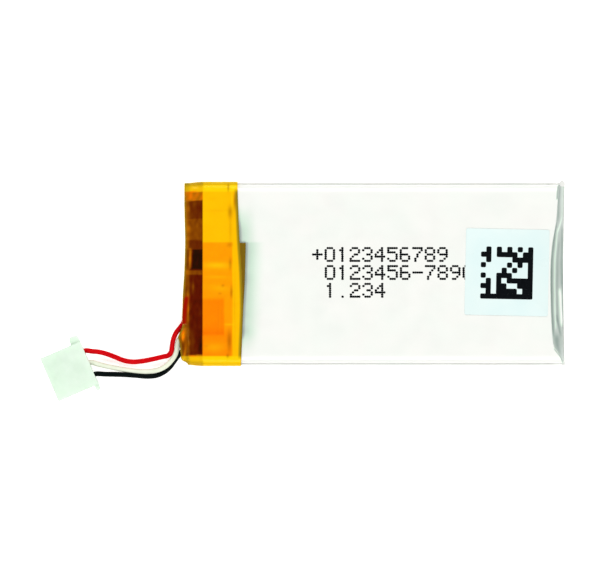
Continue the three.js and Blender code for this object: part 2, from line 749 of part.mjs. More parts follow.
/** A crimp contact: two pairs of wings on a floor strip, and a box that grips the mating pin. */
function crimpContact(y) {
  const sheet = 0.07;
  const half = 0.33;
  const inside = half - sheet;
  const low = CAVITY_Z - half;
  const wingTop = CAVITY_Z + 0.28;
  const wingSpans = [[0.28, 0.72], [0.98, 1.70]]; // on the insulation, then on the strands
  const gripStart = 2.0;
  const end = 3.95;
  const floor = box([wingSpans[0][0], end], [y - half, y + half], [low, low + sheet]);
  const wings = wingSpans.flatMap((wingX) => [
    box(wingX, [y - half, y - inside], [low, wingTop]),
    box(wingX, [y + inside, y + half], [low, wingTop]),
  ]);
  const gripBox = box([gripStart, end], [y - half, y + half], [low, CAVITY_Z + half]);
  const boreX = [gripStart - sheet, end + sheet];
  const bore = box(boreX, [y - inside, y + inside], [low + sheet, CAVITY_Z + inside]);
  return combine(combine(gripBox, { cut: [bore] }), { join: [floor, ...wings] });
}

add('plug_housing', plugHousing(), FINISH.nylon, plug);
Object.entries(LEADS).forEach(([colour, { row }]) => {
  add(`${colour}_crimp_contact`, crimpContact(row), FINISH.contact, plug);
});

// ---------------------------------------------------------------- the tape and the label

const TAPE_CORNER_STEPS = 4;

/** X of the outer tape's edge across the cell, which bows towards the tail. */
function tapeEdgeX(y) {
  return TAPE_EDGE_X - TAPE_EDGE_BOW * ((y - TAPE_EDGE_CREST_Y) / CUP_HALF) ** 2;
}

/** One section of the tape's wrap: upper corners rounded by r, lower ones nearly square. */
function tapeRing(xOf, half, [low, high], r) {
  const ring = [];
  const corner = (cy, cz, radius, from) => {
    for (let i = 0; i <= TAPE_CORNER_STEPS; i++) {
      const angle = from + (i / TAPE_CORNER_STEPS) * (Math.PI / 2);
      const y = cy + radius * Math.cos(angle);
      ring.push([xOf(y), y, cz + radius * Math.sin(angle)]);
    }
  };
  const sharp = 0.10;
  corner(half - sharp, low + sharp, sharp, -Math.PI / 2);
  corner(half - r, high - r, r, 0);
  corner(-(half - r), high - r, r, Math.PI / 2);
  corner(-(half - sharp), low + sharp, sharp, Math.PI);
  return ring;
}

/** The wrap's outer form, or the room inside it when grown inwards by the tape's thickness. */
function tapeForm(inset, edge) {
  // each section's X, half width, lowest and highest Z, and shoulder radius, towards the head
  const sections = [
    [-16.95, TAPE_HALF, [0, TAPE_TOP], TAPE_SHOULDER_R],
    [-17.30, TAPE_HALF - 0.02, [0, TAPE_TOP - 0.14], TAPE_SHOULDER_R],
    [-18.35, TAPE_HALF - 0.10, [0.24, TAPE_TOP - 0.24], 0.75],
    [-18.60, TAPE_HALF - 0.16, [0.32, TAPE_TOP - 0.36], 0.70],
    [TAPE_HEAD_X, TAPE_HALF - 0.30, [0.48, TAPE_TOP - 0.54], 0.60],
  ];
  const edgeSlot = [inset, TAPE_TOP - inset];
  const rings = [tapeRing(edge, TAPE_HALF - inset, edgeSlot, TAPE_SHOULDER_R - inset)];
  for (const [x, half, [low, high], r] of sections) {
    const slot = [low + inset, high - inset];
    const inX = x === TAPE_HEAD_X ? x + inset : x;
    rings.push(tapeRing(() => inX, half - inset, slot, r - inset));
  }
  return loft(rings.reverse());
}

function outerTape() {
  const inside = tapeForm(TAPE, (y) => tapeEdgeX(y) + 1);
  const leadWindow = box([TAPE_HEAD_X - 1, TAPE_HEAD_X + 0.4], LEAD_WINDOW_Y, LEAD_WINDOW_Z);
  return combine(tapeForm(0, tapeEdgeX), { cut: [inside, leadWindow] });
}

/** The layer beneath, from the front face over one long side. */
function underTape() {
  const centre = [-8.28, 3.22];
  const r = 0.68 + UNDER_TAPE / 2;
  const line = [[UNDER_TAPE_START_Y, centre[1] + r]];
  for (let i = 0; i <= TAPE_CORNER_STEPS; i++) {
    const angle = Math.PI / 2 + (i / TAPE_CORNER_STEPS) * (Math.PI / 2);
    line.push([centre[0] + r * Math.cos(angle), centre[1] + r * Math.sin(angle)]);
  }
  line.push([centre[0] - r, UNDER_TAPE_LOW_Z]);
  return extrudeAlong(stripOutline(line, UNDER_TAPE), UNDER_TAPE_X);
}

add('head_tape', outerTape(), FINISH.amber);
add('head_tape_under_layer', underTape(), FINISH.darkAmber);

const label = add(
  'code_label',
  new THREE.BoxGeometry(LABEL_SIZE[0], LABEL_SIZE[1], LABEL_THICK),
  FINISH.label,
);
label.position.set(LABEL_CENTRE[0], LABEL_CENTRE[1], POUCH_TOP + GAP + LABEL_THICK / 2);
label.rotation.z = LABEL_TURN;

export default part;
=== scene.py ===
# The looks of a small pouch battery cell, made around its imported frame.
# Lengths are in millimetres until mesh_object turns them into metres. +X runs from the taped head
# to the folded tail, +Z is up out of the labelled face.

import json
import math

import bmesh
import bpy
import numpy as np
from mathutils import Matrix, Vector, noise


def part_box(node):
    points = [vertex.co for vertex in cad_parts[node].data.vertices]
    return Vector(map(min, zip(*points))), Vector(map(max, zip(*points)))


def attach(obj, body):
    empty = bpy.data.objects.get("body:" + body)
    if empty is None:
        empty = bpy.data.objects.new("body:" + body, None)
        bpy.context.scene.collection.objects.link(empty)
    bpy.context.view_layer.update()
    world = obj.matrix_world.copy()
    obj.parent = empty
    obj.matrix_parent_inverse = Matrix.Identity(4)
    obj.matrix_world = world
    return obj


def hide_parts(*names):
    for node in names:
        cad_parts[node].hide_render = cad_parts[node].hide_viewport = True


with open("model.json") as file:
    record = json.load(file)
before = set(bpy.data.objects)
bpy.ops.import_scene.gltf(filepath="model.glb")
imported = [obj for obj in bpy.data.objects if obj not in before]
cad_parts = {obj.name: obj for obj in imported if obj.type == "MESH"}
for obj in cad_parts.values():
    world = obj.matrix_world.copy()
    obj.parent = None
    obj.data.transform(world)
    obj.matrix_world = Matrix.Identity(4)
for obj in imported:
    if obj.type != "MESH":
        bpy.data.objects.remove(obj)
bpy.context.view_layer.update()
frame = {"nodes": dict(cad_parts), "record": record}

MM = 0.001
SAME_POINT = 0.0005  # points nearer than this are one point


# ------ geometry helpers

def span(node):
    """A CAD node's lowest and highest corners, in millimetres."""
    low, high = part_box(node)
    return low / MM, high / MM


def mix(a, b, t):
    """The value a fraction t of the way from a to b."""
    return a + (b - a) * t


def ease(low, high, value):
    """0 below low, 1 above high, and a smooth rise between them."""
    t = min(max((value - low) / (high - low), 0.0), 1.0)
    return t * t * (3 - 2 * t)


def hump(centre, width, value):
    """A smooth bump of height 1 about a centre."""
    return math.exp(-((value - centre) / width) ** 2)


def wave(x, y, size, seed=0.0):
    """Smooth noise from about -1 to 1, whose features have about the given size."""
    return noise.noise(Vector((x / size, y / size, seed)))


def turned(x, y, turn, centre):
    """A place turned about the origin, which is then moved to a centre."""
    cos, sin = math.cos(turn), math.sin(turn)
    return centre[0] + x * cos - y * sin, centre[1] + x * sin + y * cos


def quarter_turn(radius, steps):
    """Points round a quarter circle, by how far inside each face that it joins they are."""
    turns = [math.radians(90 * i / steps) for i in range(steps + 1)]
    return [(radius * (1 - math.cos(turn)), radius * (1 - math.sin(turn))) for turn in turns]


def follow(points, value):
    """The height at a value along a short table of points, on a smooth curve through them."""
    count = len(points)
    i = 0
    while i < count - 2 and value > points[i + 1][0]:
        i += 1

    def slope(k):
        (a, low), (b, high) = points[max(k - 1, 0)], points[min(k + 1, count - 1)]
        return (high - low) / (b - a)
    (a, low), (b, high) = points[i], points[i + 1]
    t = min(max((value - a) / (b - a), 0.0), 1.0)
    rise = t * t * (3 - 2 * t)
    return (mix(low, high, rise) + (b - a) * slope(i) * t * (1 - t) ** 2
            - (b - a) * slope(i + 1) * t * t * (1 - t))


def new_object(name, data):
    """An object of the scene."""
    obj = bpy.data.objects.new(name, data)
    bpy.context.scene.collection.objects.link(obj)
    return obj


def mesh_object(name, points, faces):
    """A mesh object from points in millimetres."""
    mesh = bpy.data.meshes.new(name)
    mesh.from_pydata([tuple(c * MM for c in point) for point in points], [], faces)
    return new_object(name, mesh)


def grid_faces(rows, columns, start=0, wrap=False):
    """Quads over rows of points that are listed one row after another."""
    quads = []
    for r in range(rows - 1):
        for c in range(columns if wrap else columns - 1):
            a = start + r * columns + c
            b = start + r * columns + (c + 1) % columns
            quads.append((a, b, b + columns, a + columns))
    return quads


def weld(obj):
    """Joins points that coincide and turns every face outwards."""
    shape = bmesh.new()
    shape.from_mesh(obj.data)
    bmesh.ops.remove_doubles(shape, verts=shape.verts, dist=SAME_POINT * MM)
    bmesh.ops.recalc_face_normals(shape, faces=shape.faces)
    shape.to_mesh(obj.data)
    shape.free()
    return obj


def modified(obj, kind, **settings):
    """The object with a modifier's result as its mesh."""
    modifier = obj.modifiers.new("shape", kind)
    for setting, value in settings.items():
        setattr(modifier, setting, value)
    graph = bpy.context.evaluated_depsgraph_get()
    mesh = bpy.data.meshes.new_from_object(obj.evaluated_get(graph))
    obj.modifiers.clear()
    obj.data = mesh
    return obj


def thicken(obj, thickness, offset=-1.0, even=True):
    """A sheet given thickness, inwards unless offset says otherwise."""
    return modified(obj, "SOLIDIFY", thickness=thickness * MM, offset=offset,
                    use_even_offset=even, use_quality_normals=True)


def subdivide(obj):
    """The object with its surface smoothed by one level of subdivision."""
    return modified(obj, "SUBSURF", levels=1, render_levels=1)


def bevel(obj, width, angle=30):
    """The object with its edges rounded where they're sharper than an angle in degrees."""
    return modified(obj, "BEVEL", width=width * MM, segments=2, limit_method="ANGLE",
                    angle_limit=math.radians(angle), use_clamp_overlap=True)


def shade(obj, sharp=40):
    """Smooth shading that breaks at edges sharper than an angle in degrees."""
    obj.data.shade_smooth()
    obj.data.set_sharp_from_angle(angle=math.radians(sharp))
    return obj


def set_tint(obj, tint_at):
    """Gives a mesh a "tint" from 0 to 1, worked out at each of its points."""
    attribute = obj.data.attributes.new("tint", "FLOAT", "POINT")
    for vertex, item in zip(obj.data.vertices, attribute.data):
        item.value = min(max(tint_at(*(vertex.co / MM)), 0.0), 1.0)
    return obj


def set_color(obj, color_at):
    """Gives a mesh a "film_color", worked out from the X and Y of each of its points."""
    attribute = obj.data.attributes.new("film_color", "FLOAT_COLOR", "POINT")
    for vertex, item in zip(obj.data.vertices, attribute.data):
        item.color = color_at(*(vertex.co.xy / MM))
    return obj


def blended(color, other, share):
    """A share of the way from one colour to another."""
    share = min(max(share, 0.0), 1.0)
    return tuple(mix(a, b, share) for a, b in zip(color, other))


def in_steps(value, stops):
    """The colour at a value along a list of (value, colour)."""
    color = stops[0][1]
    for (low, _), (high, after) in zip(stops, stops[1:]):
        color = blended(color, after, (value - low) / (high - low))
    return color


def place(obj, slot, node):
    """Rides a finished piece on the cell, with its slot's material, in place of a CAD node."""
    obj.data.materials.clear()
    obj.data.materials.append(FINISHES[slot])
    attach(obj, "root")
    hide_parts(node)


def refined(node, width):
    """A copy of a CAD node with merged flat faces and rounded edges."""
    obj = new_object(node + "_moulded", frame["nodes"][node].data.copy())
    shape = bmesh.new()
    shape.from_mesh(obj.data)
    bmesh.ops.remove_doubles(shape, verts=shape.verts, dist=SAME_POINT * MM)
    nearly_flat = math.radians(1)
    bmesh.ops.dissolve_limit(shape, angle_limit=nearly_flat, verts=shape.verts, edges=shape.edges)
    shape.to_mesh(obj.data)
    shape.free()
    return shade(bevel(obj, width))


# ------ materials

def srgb(*color):
    """A display colour, of values to 255, as linear values."""
    shares = [value / 255 for value in color]
    return (*(s / 12.92 if s <= 0.04045 else ((s + 0.055) / 1.055) ** 2.4 for s in shares), 1.0)


def new_tree(name):
    """An empty material, its node tree and its output."""
    material = bpy.data.materials.new(name)
    material.use_nodes = True
    tree = material.node_tree
    tree.nodes.clear()
    return material, tree, tree.nodes.new("ShaderNodeOutputMaterial")


def feed(tree, node, inputs):
    """Gives each of a node's inputs a value, or the output of another node."""
    for name, value in inputs.items():
        if isinstance(value, bpy.types.NodeSocket):
            tree.links.new(value, node.inputs[name])
        else:
            node.inputs[name].default_value = value


def add_node(tree, kind, inputs, outlet=0):
    """The output of a new node with the given inputs."""
    node = tree.nodes.new("ShaderNode" + kind)
    feed(tree, node, inputs)
    return node.outputs[outlet]


def mesh_values(tree, name, outlet):
    """The values that a mesh carries under a name."""
    node = tree.nodes.new("ShaderNodeAttribute")
    node.attribute_name = name
    return node.outputs[outlet]


def noise_node(tree, size, detail=3.0, stretch=(1, 1, 1)):
    """Noise on the object's own coordinates, whose features have a size in millimetres."""
    at = add_node(tree, "TexCoord", {}, "Object")
    at = add_node(tree, "Mapping", {"Vector": at, "Scale": [1 / s for s in stretch]})
    return add_node(tree, "TexNoise", {"Vector": at, "Scale": 1 / (size * MM), "Detail": detail},
                    "Fac")


def ranged(tree, value, low, high, to_low, to_high):
    """A value carried from one range to another."""
    return add_node(tree, "MapRange", dict(enumerate((value, low, high, to_low, to_high))))


def color_mix(tree, factor, a, b):
    """Two colours mixed by a factor."""
    node = tree.nodes.new("ShaderNodeMix")
    node.data_type = "RGBA"
    feed(tree, node, {"A": a, "B": b, "Factor": factor})
    return node.outputs["Result"]


def color_steps(tree, value, stops):
    """A colour that goes through a list of (position, colour) as a value rises from 0 to 1."""
    ramp = tree.nodes.new("ShaderNodeValToRGB")
    elements = ramp.color_ramp.elements
    elements[0].color = stops[0][1]
    elements[1].color = stops[-1][1]
    for position, color in stops[1:-1]:
        elements.new(position).color = color
    tree.links.new(value, ramp.inputs[0])
    return ramp.outputs[0]


def surface(name, color, other, roughness, size=0.8, grain=0.0, grain_size=0.12, spread=0.08,
            stretch=(1, 1, 1), shadow=None, **sockets):
    """A surface mottled between two display colours, with uneven gloss and a fine grain in relief.

    Where it has shadow colours, as (tint, colour), it turns to them as the mesh's "tint" rises.
    """
    material, tree, output = new_tree(name)
    mottle = ranged(tree, noise_node(tree, size, stretch=stretch), 0.35, 0.65, 0, 1)
    tint = color_mix(tree, mottle, srgb(*color), srgb(*other))
    if shadow:
        deep = mesh_values(tree, "tint", "Fac")
        tint = color_mix(tree, deep, tint, color_steps(tree, deep, shadow))
    gloss = noise_node(tree, size * 0.6, 4.0, stretch)
    gloss = ranged(tree, gloss, 0.3, 0.7, roughness - spread, roughness + spread)
    inputs = {"Base Color": tint, "Roughness": gloss}
    if grain:
        height = noise_node(tree, grain_size, 4.0, stretch)
        inputs["Normal"] = add_node(tree, "Bump", {"Distance": grain * MM, "Height": height})
    for socket, value in sockets.items():
        inputs[socket.replace("_", " ")] = value
    tree.links.new(add_node(tree, "BsdfPrincipled", inputs), output.inputs["Surface"])
    return material


def film(name, haze):
    """A film in the mesh's own "film_color", clear enough that what lies under it shows faintly."""
    material, tree, output = new_tree(name)
    color = mesh_values(tree, "film_color", "Color")
    pale = add_node(tree, "Gamma", {"Color": color, "Gamma": 0.3})
    through = add_node(tree, "BsdfTransparent", {"Color": pale})
    body = add_node(tree, "BsdfDiffuse", {"Color": color})
    cloudy = add_node(tree, "MixShader", {0: haze, 1: through, 2: body})
    wrinkles = noise_node(tree, 0.35, 2.0, (1, 3, 1))
    relief = add_node(tree, "Bump", {"Distance": 0.004 * MM, "Height": wrinkles})
    gloss = ranged(tree, noise_node(tree, 0.9), 0.3, 0.7, 0.1, 0.22)
    shine = add_node(tree, "BsdfGlossy", {"Color": (1.0, 0.8, 0.22, 1.0), "Roughness": gloss,
                                          "Normal": relief})
    fresnel = add_node(tree, "Fresnel", {"IOR": 1.25, "Normal": relief})
    whole = add_node(tree, "MixShader", {0: fresnel, 1: cloudy, 2: shine})
    tree.links.new(whole, output.inputs["Surface"])
    return material


# The laminate's painted shade: faint and green in the dip beside the tape, and deeper grey on the
# creased tail wall.
LAMINATE_SHADOW = [(0.0, srgb(150, 212, 168)), (0.45, srgb(140, 196, 158)),
                   (0.65, srgb(128, 148, 138)), (1.0, srgb(120, 138, 129))]

METAL = {"Metallic": 1.0}
ROLLED = {"stretch": (1, 1, 12), **METAL}

# Each slot's two colours, roughness, size of mottling and height of grain, and what else it needs.
SURFACES = {
    "laminate": ((229, 228, 224), (226, 228, 223), 0.46, 3.5, 0.0012, {
        "grain_size": 0.1, "shadow": LAMINATE_SHADOW, "Metallic": 0.12,
        "Specular_IOR_Level": 0.3}),
    "cathode": ((38, 38, 40), (46, 46, 48), 0.85, 0.8, 0.004, {}),
    "anode": ((52, 46, 42), (62, 54, 48), 0.85, 0.8, 0.004, {}),
    "separator": ((240, 240, 236), (230, 230, 226), 0.6, 0.8, 0.001, {}),
    "roll_tape": ((70, 150, 96), (60, 138, 86), 0.4, 0.8, 0.001, {}),
    "tab_aluminium": ((214, 216, 218), (198, 200, 203), 0.3, 0.8, 0.001, ROLLED),
    "tab_nickel": ((206, 201, 190), (190, 184, 172), 0.28, 0.8, 0.001, ROLLED),
    "tab_film": ((24, 24, 26), (34, 34, 36), 0.5, 0.8, 0.002, {}),
    "insulating_fibre": ((52, 38, 30), (62, 46, 36), 0.75, 0.3, 0.004, {}),
    "board": ((84, 38, 26), (66, 28, 20), 0.4, 0.5, 0.002, {}),
    "chip": ((20, 20, 23), (30, 30, 33), 0.48, 0.3, 0.003, {}),
    "ceramic": ((150, 116, 78), (136, 104, 70), 0.55, 0.2, 0.002, {}),
    "solder": ((208, 210, 212), (190, 192, 194), 0.22, 0.3, 0.003, METAL),
    "contact": ((214, 206, 180), (200, 190, 162), 0.28, 0.4, 0.001, METAL),
    "nylon": ((214, 232, 214), (206, 226, 206), 0.42, 1.4, 0.003, {
        "grain_size": 0.2, "Subsurface_Weight": 0.35, "Subsurface_Scale": 1.0,
        "Subsurface_Radius": (0.0009, 0.0011, 0.0009)}),
    "label": ((214, 228, 226), (209, 226, 225), 0.34, 3.0, 0.001, {"Specular_IOR_Level": 0.3}),
    "red_insulation": ((200, 1, 12), (188, 0, 8), 0.42, 0.7, 0.002, {"Specular_IOR_Level": 0.04}),
    "white_insulation": ((226, 230, 212), (220, 225, 204), 0.42, 0.7, 0.002, {
        "Specular_IOR_Level": 0.1}),
    "black_insulation": ((1, 7, 7), (3, 10, 10), 0.42, 0.7, 0.002, {"Specular_IOR_Level": 0.03}),
}
FINISHES = {slot: surface(slot, *values, **more) for slot, (*values, more) in SURFACES.items()}
FINISHES["amber_tape"] = film("amber_tape", haze=0.76)
INK = surface("ink", (3, 5, 8), (8, 12, 16), 0.65, 0.15, 0.002, Specular_IOR_Level=0.04)

SLOTS = {part["node"]: part["material_slot"] for part in frame["record"]["subparts"]}
for name, slot in SLOTS.items():
    materials = frame["nodes"][name].data.materials
    materials.clear()
    materials.append(FINISHES[slot])


# ------ sizes taken from the frame

CUP_HIGH = span("pouch_front_cup")[1]
BACK_LOW = span("pouch_back_sheet")[0]
TAPE_HIGH = span("head_tape")[1]
LABEL_LOW, LABEL_HIGH = span("code_label")

FILM = 0.1  # laminate thickness
TOP = CUP_HIGH.z  # height of the front face
SEAL_Y = CUP_HIGH.y  # outer face of the cup's layer of a side seal
CUP_Y = SEAL_Y - 0.06  # outer face of the cup's side walls
BACK_Y = SEAL_Y + 0.11  # outer face of the back sheet's layer of a side seal
SEAL_TOP = 3.1  # height of the folded-up side seals
FOLD_X = 18.56  # the fold along the tail
CUP_HEAD_X = -16.93  # outer face of the cup's head wall


# ------ the pouch

# Where the face ends at the tail, as (Y, X).
TAIL_TOP_EDGE = [(-8.7, 18.44), (-8.2, 18.24), (-7.7, 17.86), (-7.2, 17.5), (-6.0, 17.34),
                 (-4.0, 17.22), (-1.0, 17.15), (1.1, 17.18), (3.0, 17.34), (4.0, 17.52),
                 (5.0, 17.7), (6.0, 17.8), (8.7, 17.96)]

# The tail wall's creases: each runs between two Ys, at a share of the way from the face's edge to
# the fold that goes from one value to another, with a half width and a depth, below 0 for a ridge.
# The depth also deepens the wall's painted shade, or pales it as a painted highlight on a ridge.
TAIL_CREASES = [
    (-6.0, 5.0, 0.13, 0.13, 0.08, 0.55), (-5.4, 4.4, 0.3, 0.3, 0.08, -0.45),
    (4.2, 5.4, 0.34, 0.66, 0.1, -0.5), (-1.2, 4.6, 0.88, 0.84, 0.1, 0.45),
    (-4.6, 3.2, 0.5, 0.56, 0.1, 0.3), (-5.0, -1.6, 0.8, 0.68, 0.1, -1.3),
    (-6.0, -4.2, 0.72, 0.46, 0.1, 0.5), (-5.6, 0.0, 0.94, 0.94, 0.05, 0.5),
    (5.2, 8.8, 0.24, 0.26, 0.16, 0.45), (5.4, 8.8, 0.75, 0.75, 0.25, -0.2),
    (-7.9, -6.0, 0.4, 0.4, 0.26, 0.5),
]

# The free edge of the tape on the front face and that of the layer beneath it, as (Y, X), and the
# Y where the layer beneath begins.
TAPE_EDGE = [(-9.1, -13.27), (-7.0, -13.2), (-3.5, -13.08), (0.0, -13.16), (3.3, -13.38),
             (7.3, -13.54), (9.1, -13.58)]
UNDER_EDGE = [(-9.1, -13.24), (-6.0, -13.12), (-3.5, -13.02), (-0.8, -12.87), (3.1, -12.77)]
UNDER_START = 3.05

WALL_SKIN = 0.14  # how near the tail wall's face a point of its skin lies
# The tail wall's grey is painted shade, which its creases deepen and its ridges pale as painted
# highlight.
WALL_PAINTED_SHADE, CREASE_PAINTED_SHADE = 0.7, 0.62  # the wall's grey, and what a crease of depth 1 adds to it
FACE_FROM = 2.5  # the front face's points are all above this
WALL_CURVE = 1.3  # 1 would make the tail wall straight, and more makes it bulge


def tail_creases(y, share):
    """How far hollowed the tail wall is, or raised where it's below zero; also how much its painted
    shade deepens there, or pales as a painted highlight.
    """
    depth = 0.0
    for start, end, first, last, width, deep in TAIL_CREASES:
        along = min(max((y - start) / (end - start), 0.0), 1.0)
        centre = mix(first, last, along) + 0.03 * wave(y, 0, 1.9, 4.0)
        ends = ease(start - 0.4, start + 0.4, y) * ease(end + 0.4, end - 0.4, y)
        depth += deep * ends * hump(centre, width, share)
    return depth


def tail_share(z):
    """The share of the way from the face's edge to the fold, in plan, at a height."""
    return 1 - min(max(z / TOP, 0.0), 1.0) ** WALL_CURVE


def tail_x(y, z):
    """X of the tail wall, which leans back from the fold and is creased across."""
    share = tail_share(z)
    fold = FOLD_X + 0.06 * (y / CUP_Y) ** 2
    x = mix(follow(TAIL_TOP_EDGE, y), fold, share)
    return x - 0.1 * tail_creases(y, share) * (fold - x + 0.4) * ease(0, 0.1, share)


def laminate_painted_shade(x, y, z):
    """How deep the laminate's painted shade is: on the drawn tail wall, deeper in its creases and paler
    on its ridges, and in the dip beside the tape.
    """
    share = tail_share(z)
    if share > 0.01 and abs(x - tail_x(y, z)) < WALL_SKIN:
        ends = ease(CUP_Y, CUP_Y - 0.4, abs(y))
        # painted shade on the tail wall, deeper in its hollows and paler on its ridges
        return (WALL_PAINTED_SHADE + CREASE_PAINTED_SHADE * tail_creases(y, share)) * mix(0.8, 1.0, ends)
    if z <= FACE_FROM:
        return 0.0
    # Painted shade in the dip beside the edges of the tape and of the layer beneath.
    edges = [TAPE_EDGE, UNDER_EDGE] if y < UNDER_START else [TAPE_EDGE]
    past = x - max(follow(edge, y) for edge in edges)
    reach = ease(7.9, 4.6, abs(y + 0.5)) * (1 + 0.25 * wave(0, y, 1.3, 8.0))
    return reach * (0.25 * ease(0.3, 0.12, past) + 0.55 * ease(2.1, 0.1, past))


def face_relief(x, y):
    """How far the front face departs from flat: its margins, the dip by the tape, faint waves."""
    margin = -0.055 * ease(6.6, 8.3, abs(y))
    beside_tape = -0.13 * (1 - ease(-12.9, -11.7, x)) * ease(8.6, 6.2, abs(y + 0.4))
    waves = 0.012 * wave(x, y, 5.5, 2.0) + 0.004 * wave(x, y, 1.7, 7.0)
    nick = -0.02 * hump(-9.5 - 0.25 * (y + 5), 0.5, x) * hump(-5.0, 0.1, y)
    return margin + beside_tape + waves + nick


SHOULDER = 0.75  # rounding along the long sides
WALL_STEPS, ARC_STEPS, TOP_STEPS = 12, 6, 40
HEAD_ROUNDING = 0.7  # of the head wall's upright corners
RIM_ROUNDING = 0.12  # of its upper edge
DIP_START, DIP_END = -13.8, -11.9  # the stretch with the dip beside the tape
DIP_STEP, FACE_STEP = 0.16, 0.5  # between rows of points there, and elsewhere


def cup_side(side):
    """One side wall and its shoulder, from the bottom up, as (y, z)."""
    foot = FILM + 0.01
    points = [(side * CUP_Y, mix(foot, TOP - SHOULDER, i / WALL_STEPS)) for i in range(WALL_STEPS)]
    points += [(side * (CUP_Y - inward), TOP - below)
               for inward, below in quarter_turn(SHOULDER, ARC_STEPS)]
    return points


def head_x(y, z):
    """X of the cup's head wall, rounded at its upright corners and at the top."""
    def round_in(radius, beyond):
        return radius - math.sqrt(max(radius ** 2 - max(beyond, 0.0) ** 2, 0.0))
    return (CUP_HEAD_X + round_in(HEAD_ROUNDING, abs(y) - CUP_Y + HEAD_ROUNDING)
            + round_in(RIM_ROUNDING, z - TOP + RIM_ROUNDING))


def front_cup():
    """The drawn cup, whose side seals' inner layers seal_strips makes."""
    left, right = cup_side(-1), cup_side(1)
    rows, columns = len(left), TOP_STEPS + 1
    wall = [(mix(low, high, j / TOP_STEPS), z) for (low, z), (high, _) in zip(left, right)
            for j in range(columns)]
    around = left + wall[1 - columns:-1] + right[::-1]
    length = FOLD_X - CUP_HEAD_X
    stations = [CUP_HEAD_X, CUP_HEAD_X + 0.15, CUP_HEAD_X + 0.4]
    while stations[-1] < FOLD_X - 0.6:
        in_dip = DIP_START < stations[-1] < DIP_END
        stations.append(stations[-1] + (DIP_STEP if in_dip else FACE_STEP))
    along = [(x - CUP_HEAD_X) / length for x in [*stations, FOLD_X - 0.16, FOLD_X - 0.05, FOLD_X]]
    points = []
    for f in along:
        for y, z in around:
            x = mix(head_x(y, z), tail_x(y, z), f)
            rise = ease(TOP - SHOULDER, TOP, z) * face_relief(x, y)
            bow = math.copysign(0.02 * wave(x, z, 3.0, 5.0), y) * ease(CUP_Y - 0.4, CUP_Y, abs(y))
            points.append((x, y + bow, z + rise))
    faces = grid_faces(len(along), len(around))
    for wall_x, edge in ((tail_x, (len(along) - 1) * len(around)), (head_x, 0)):
        start = len(points)
        points += [(wall_x(y, z), y, z) for y, z in wall]
        # the rim of a wall takes the exact points of the skin that it closes
        for i in range(rows):
            points[start + i * columns] = points[edge + i]
            points[start + (i + 1) * columns - 1] = points[edge + len(around) - 1 - i]
        for j in range(columns):
            points[start + (rows - 1) * columns + j] = points[edge + rows - 1 + j]
        faces += grid_faces(rows, columns, start)
    shell = weld(mesh_object("pouch_front", points, faces))
    return subdivide(thicken(shell, FILM, even=False))


SEAL_FROM, SEAL_TO = -16.4, 18.2  # X of the ends of the cup's layers of the side seals
SEAL_FALL = 2.2  # how far their upper edge falls at the tail


def seal_top(x):
    """Height of a side seal's upper edge, which waves a little and falls away at the tail."""
    return SEAL_TOP + 0.05 * wave(x, 0, 2.6, 3.0) - SEAL_FALL * ease(17.0, 18.7, x)


def seal_strips():
    """The inner layers of the two folded-up side seals, between the cup's walls and the sheet."""
    points, faces = [], []
    columns, rows = 70, 8
    inner, outer = CUP_Y - 0.03, BACK_Y - FILM - 0.002
    for side in (-1, 1):
        start = len(points)
        for i in range(rows + 1):
            for j in range(columns + 1):
                x = mix(SEAL_FROM, SEAL_TO, j / columns)
                z = mix(FILM + 0.03, seal_top(x) - 0.02, i / rows)
                points.append((x, side * (inner + outer) / 2, z))
        faces += grid_faces(rows + 1, columns + 1, start)
    return thicken(mesh_object("side_seal_layers", points, faces), outer - inner, 0)


def joined(name, *objects):
    """Several mesh objects as one."""
    shape = bmesh.new()
    for obj in objects:
        shape.from_mesh(obj.data)
        bpy.data.objects.remove(obj)
    whole = mesh_object(name, [], [])
    shape.to_mesh(whole.data)
    shape.free()
    return whole


BACK_BEND = 0.22  # radius of the turn-up along each side
BACK_STEP = 0.08  # rise of the back where the tape runs beneath it
FLAT_SHARE, BEND_SHARE = 0.6, 0.1  # how much of each half of the profile is flat, and is bent


def back_profile(v):
    """A point on the back sheet's outer face from one seal edge to the other, v from -1 to 1.

    Returns its side, its Y, and its height as a fraction up the seal, or None on the flat back.
    """
    side = math.copysign(1, v)
    outward = abs(v)
    bent = FLAT_SHARE + BEND_SHARE
    if outward <= FLAT_SHARE:
        return side, (BACK_Y - BACK_BEND) * outward / FLAT_SHARE, None
    if outward <= bent:
        turn = math.pi / 2 * (outward - FLAT_SHARE) / BEND_SHARE
        return side, BACK_Y - BACK_BEND + BACK_BEND * math.sin(turn), None
    return side, BACK_Y, (outward - bent) / (1 - bent)


# The outline of each ear of crumpled seal at the tail's corners, as (x, y, z).
EARS = {
    "pouch_upper_ear": [
        (17.72, 8.84, 2.92), (18.08, 9.02, 2.86), (18.36, 9.28, 2.7), (18.55, 9.1, 2.6),
        (18.66, 8.86, 2.52), (18.6, 8.62, 2.6), (18.34, 8.6, 2.8), (18.0, 8.7, 2.92)],
    "pouch_lower_ear": [
        (18.02, -8.84, 2.78), (18.34, -8.97, 2.66), (18.74, -8.97, 2.44), (18.7, -8.8, 2.46),
        (18.56, -8.56, 2.56), (18.3, -8.64, 2.7)],
}
EAR_LIFT, EAR_THICKNESS = 0.07, 0.09


def ear(name, outline):
    """An ear: a small leaf of laminate whose middle is lifted."""
    count = len(outline)
    middle = [sum(c) / count for c in zip(*outline)]
    middle[2] += EAR_LIFT
    faces = [(i, (i + 1) % count, count) for i in range(count)]
    if outline[2][1] > 0:
        faces = [face[::-1] for face in faces]
    return thicken(mesh_object(name, [*outline, middle], faces), EAR_THICKNESS, even=False)


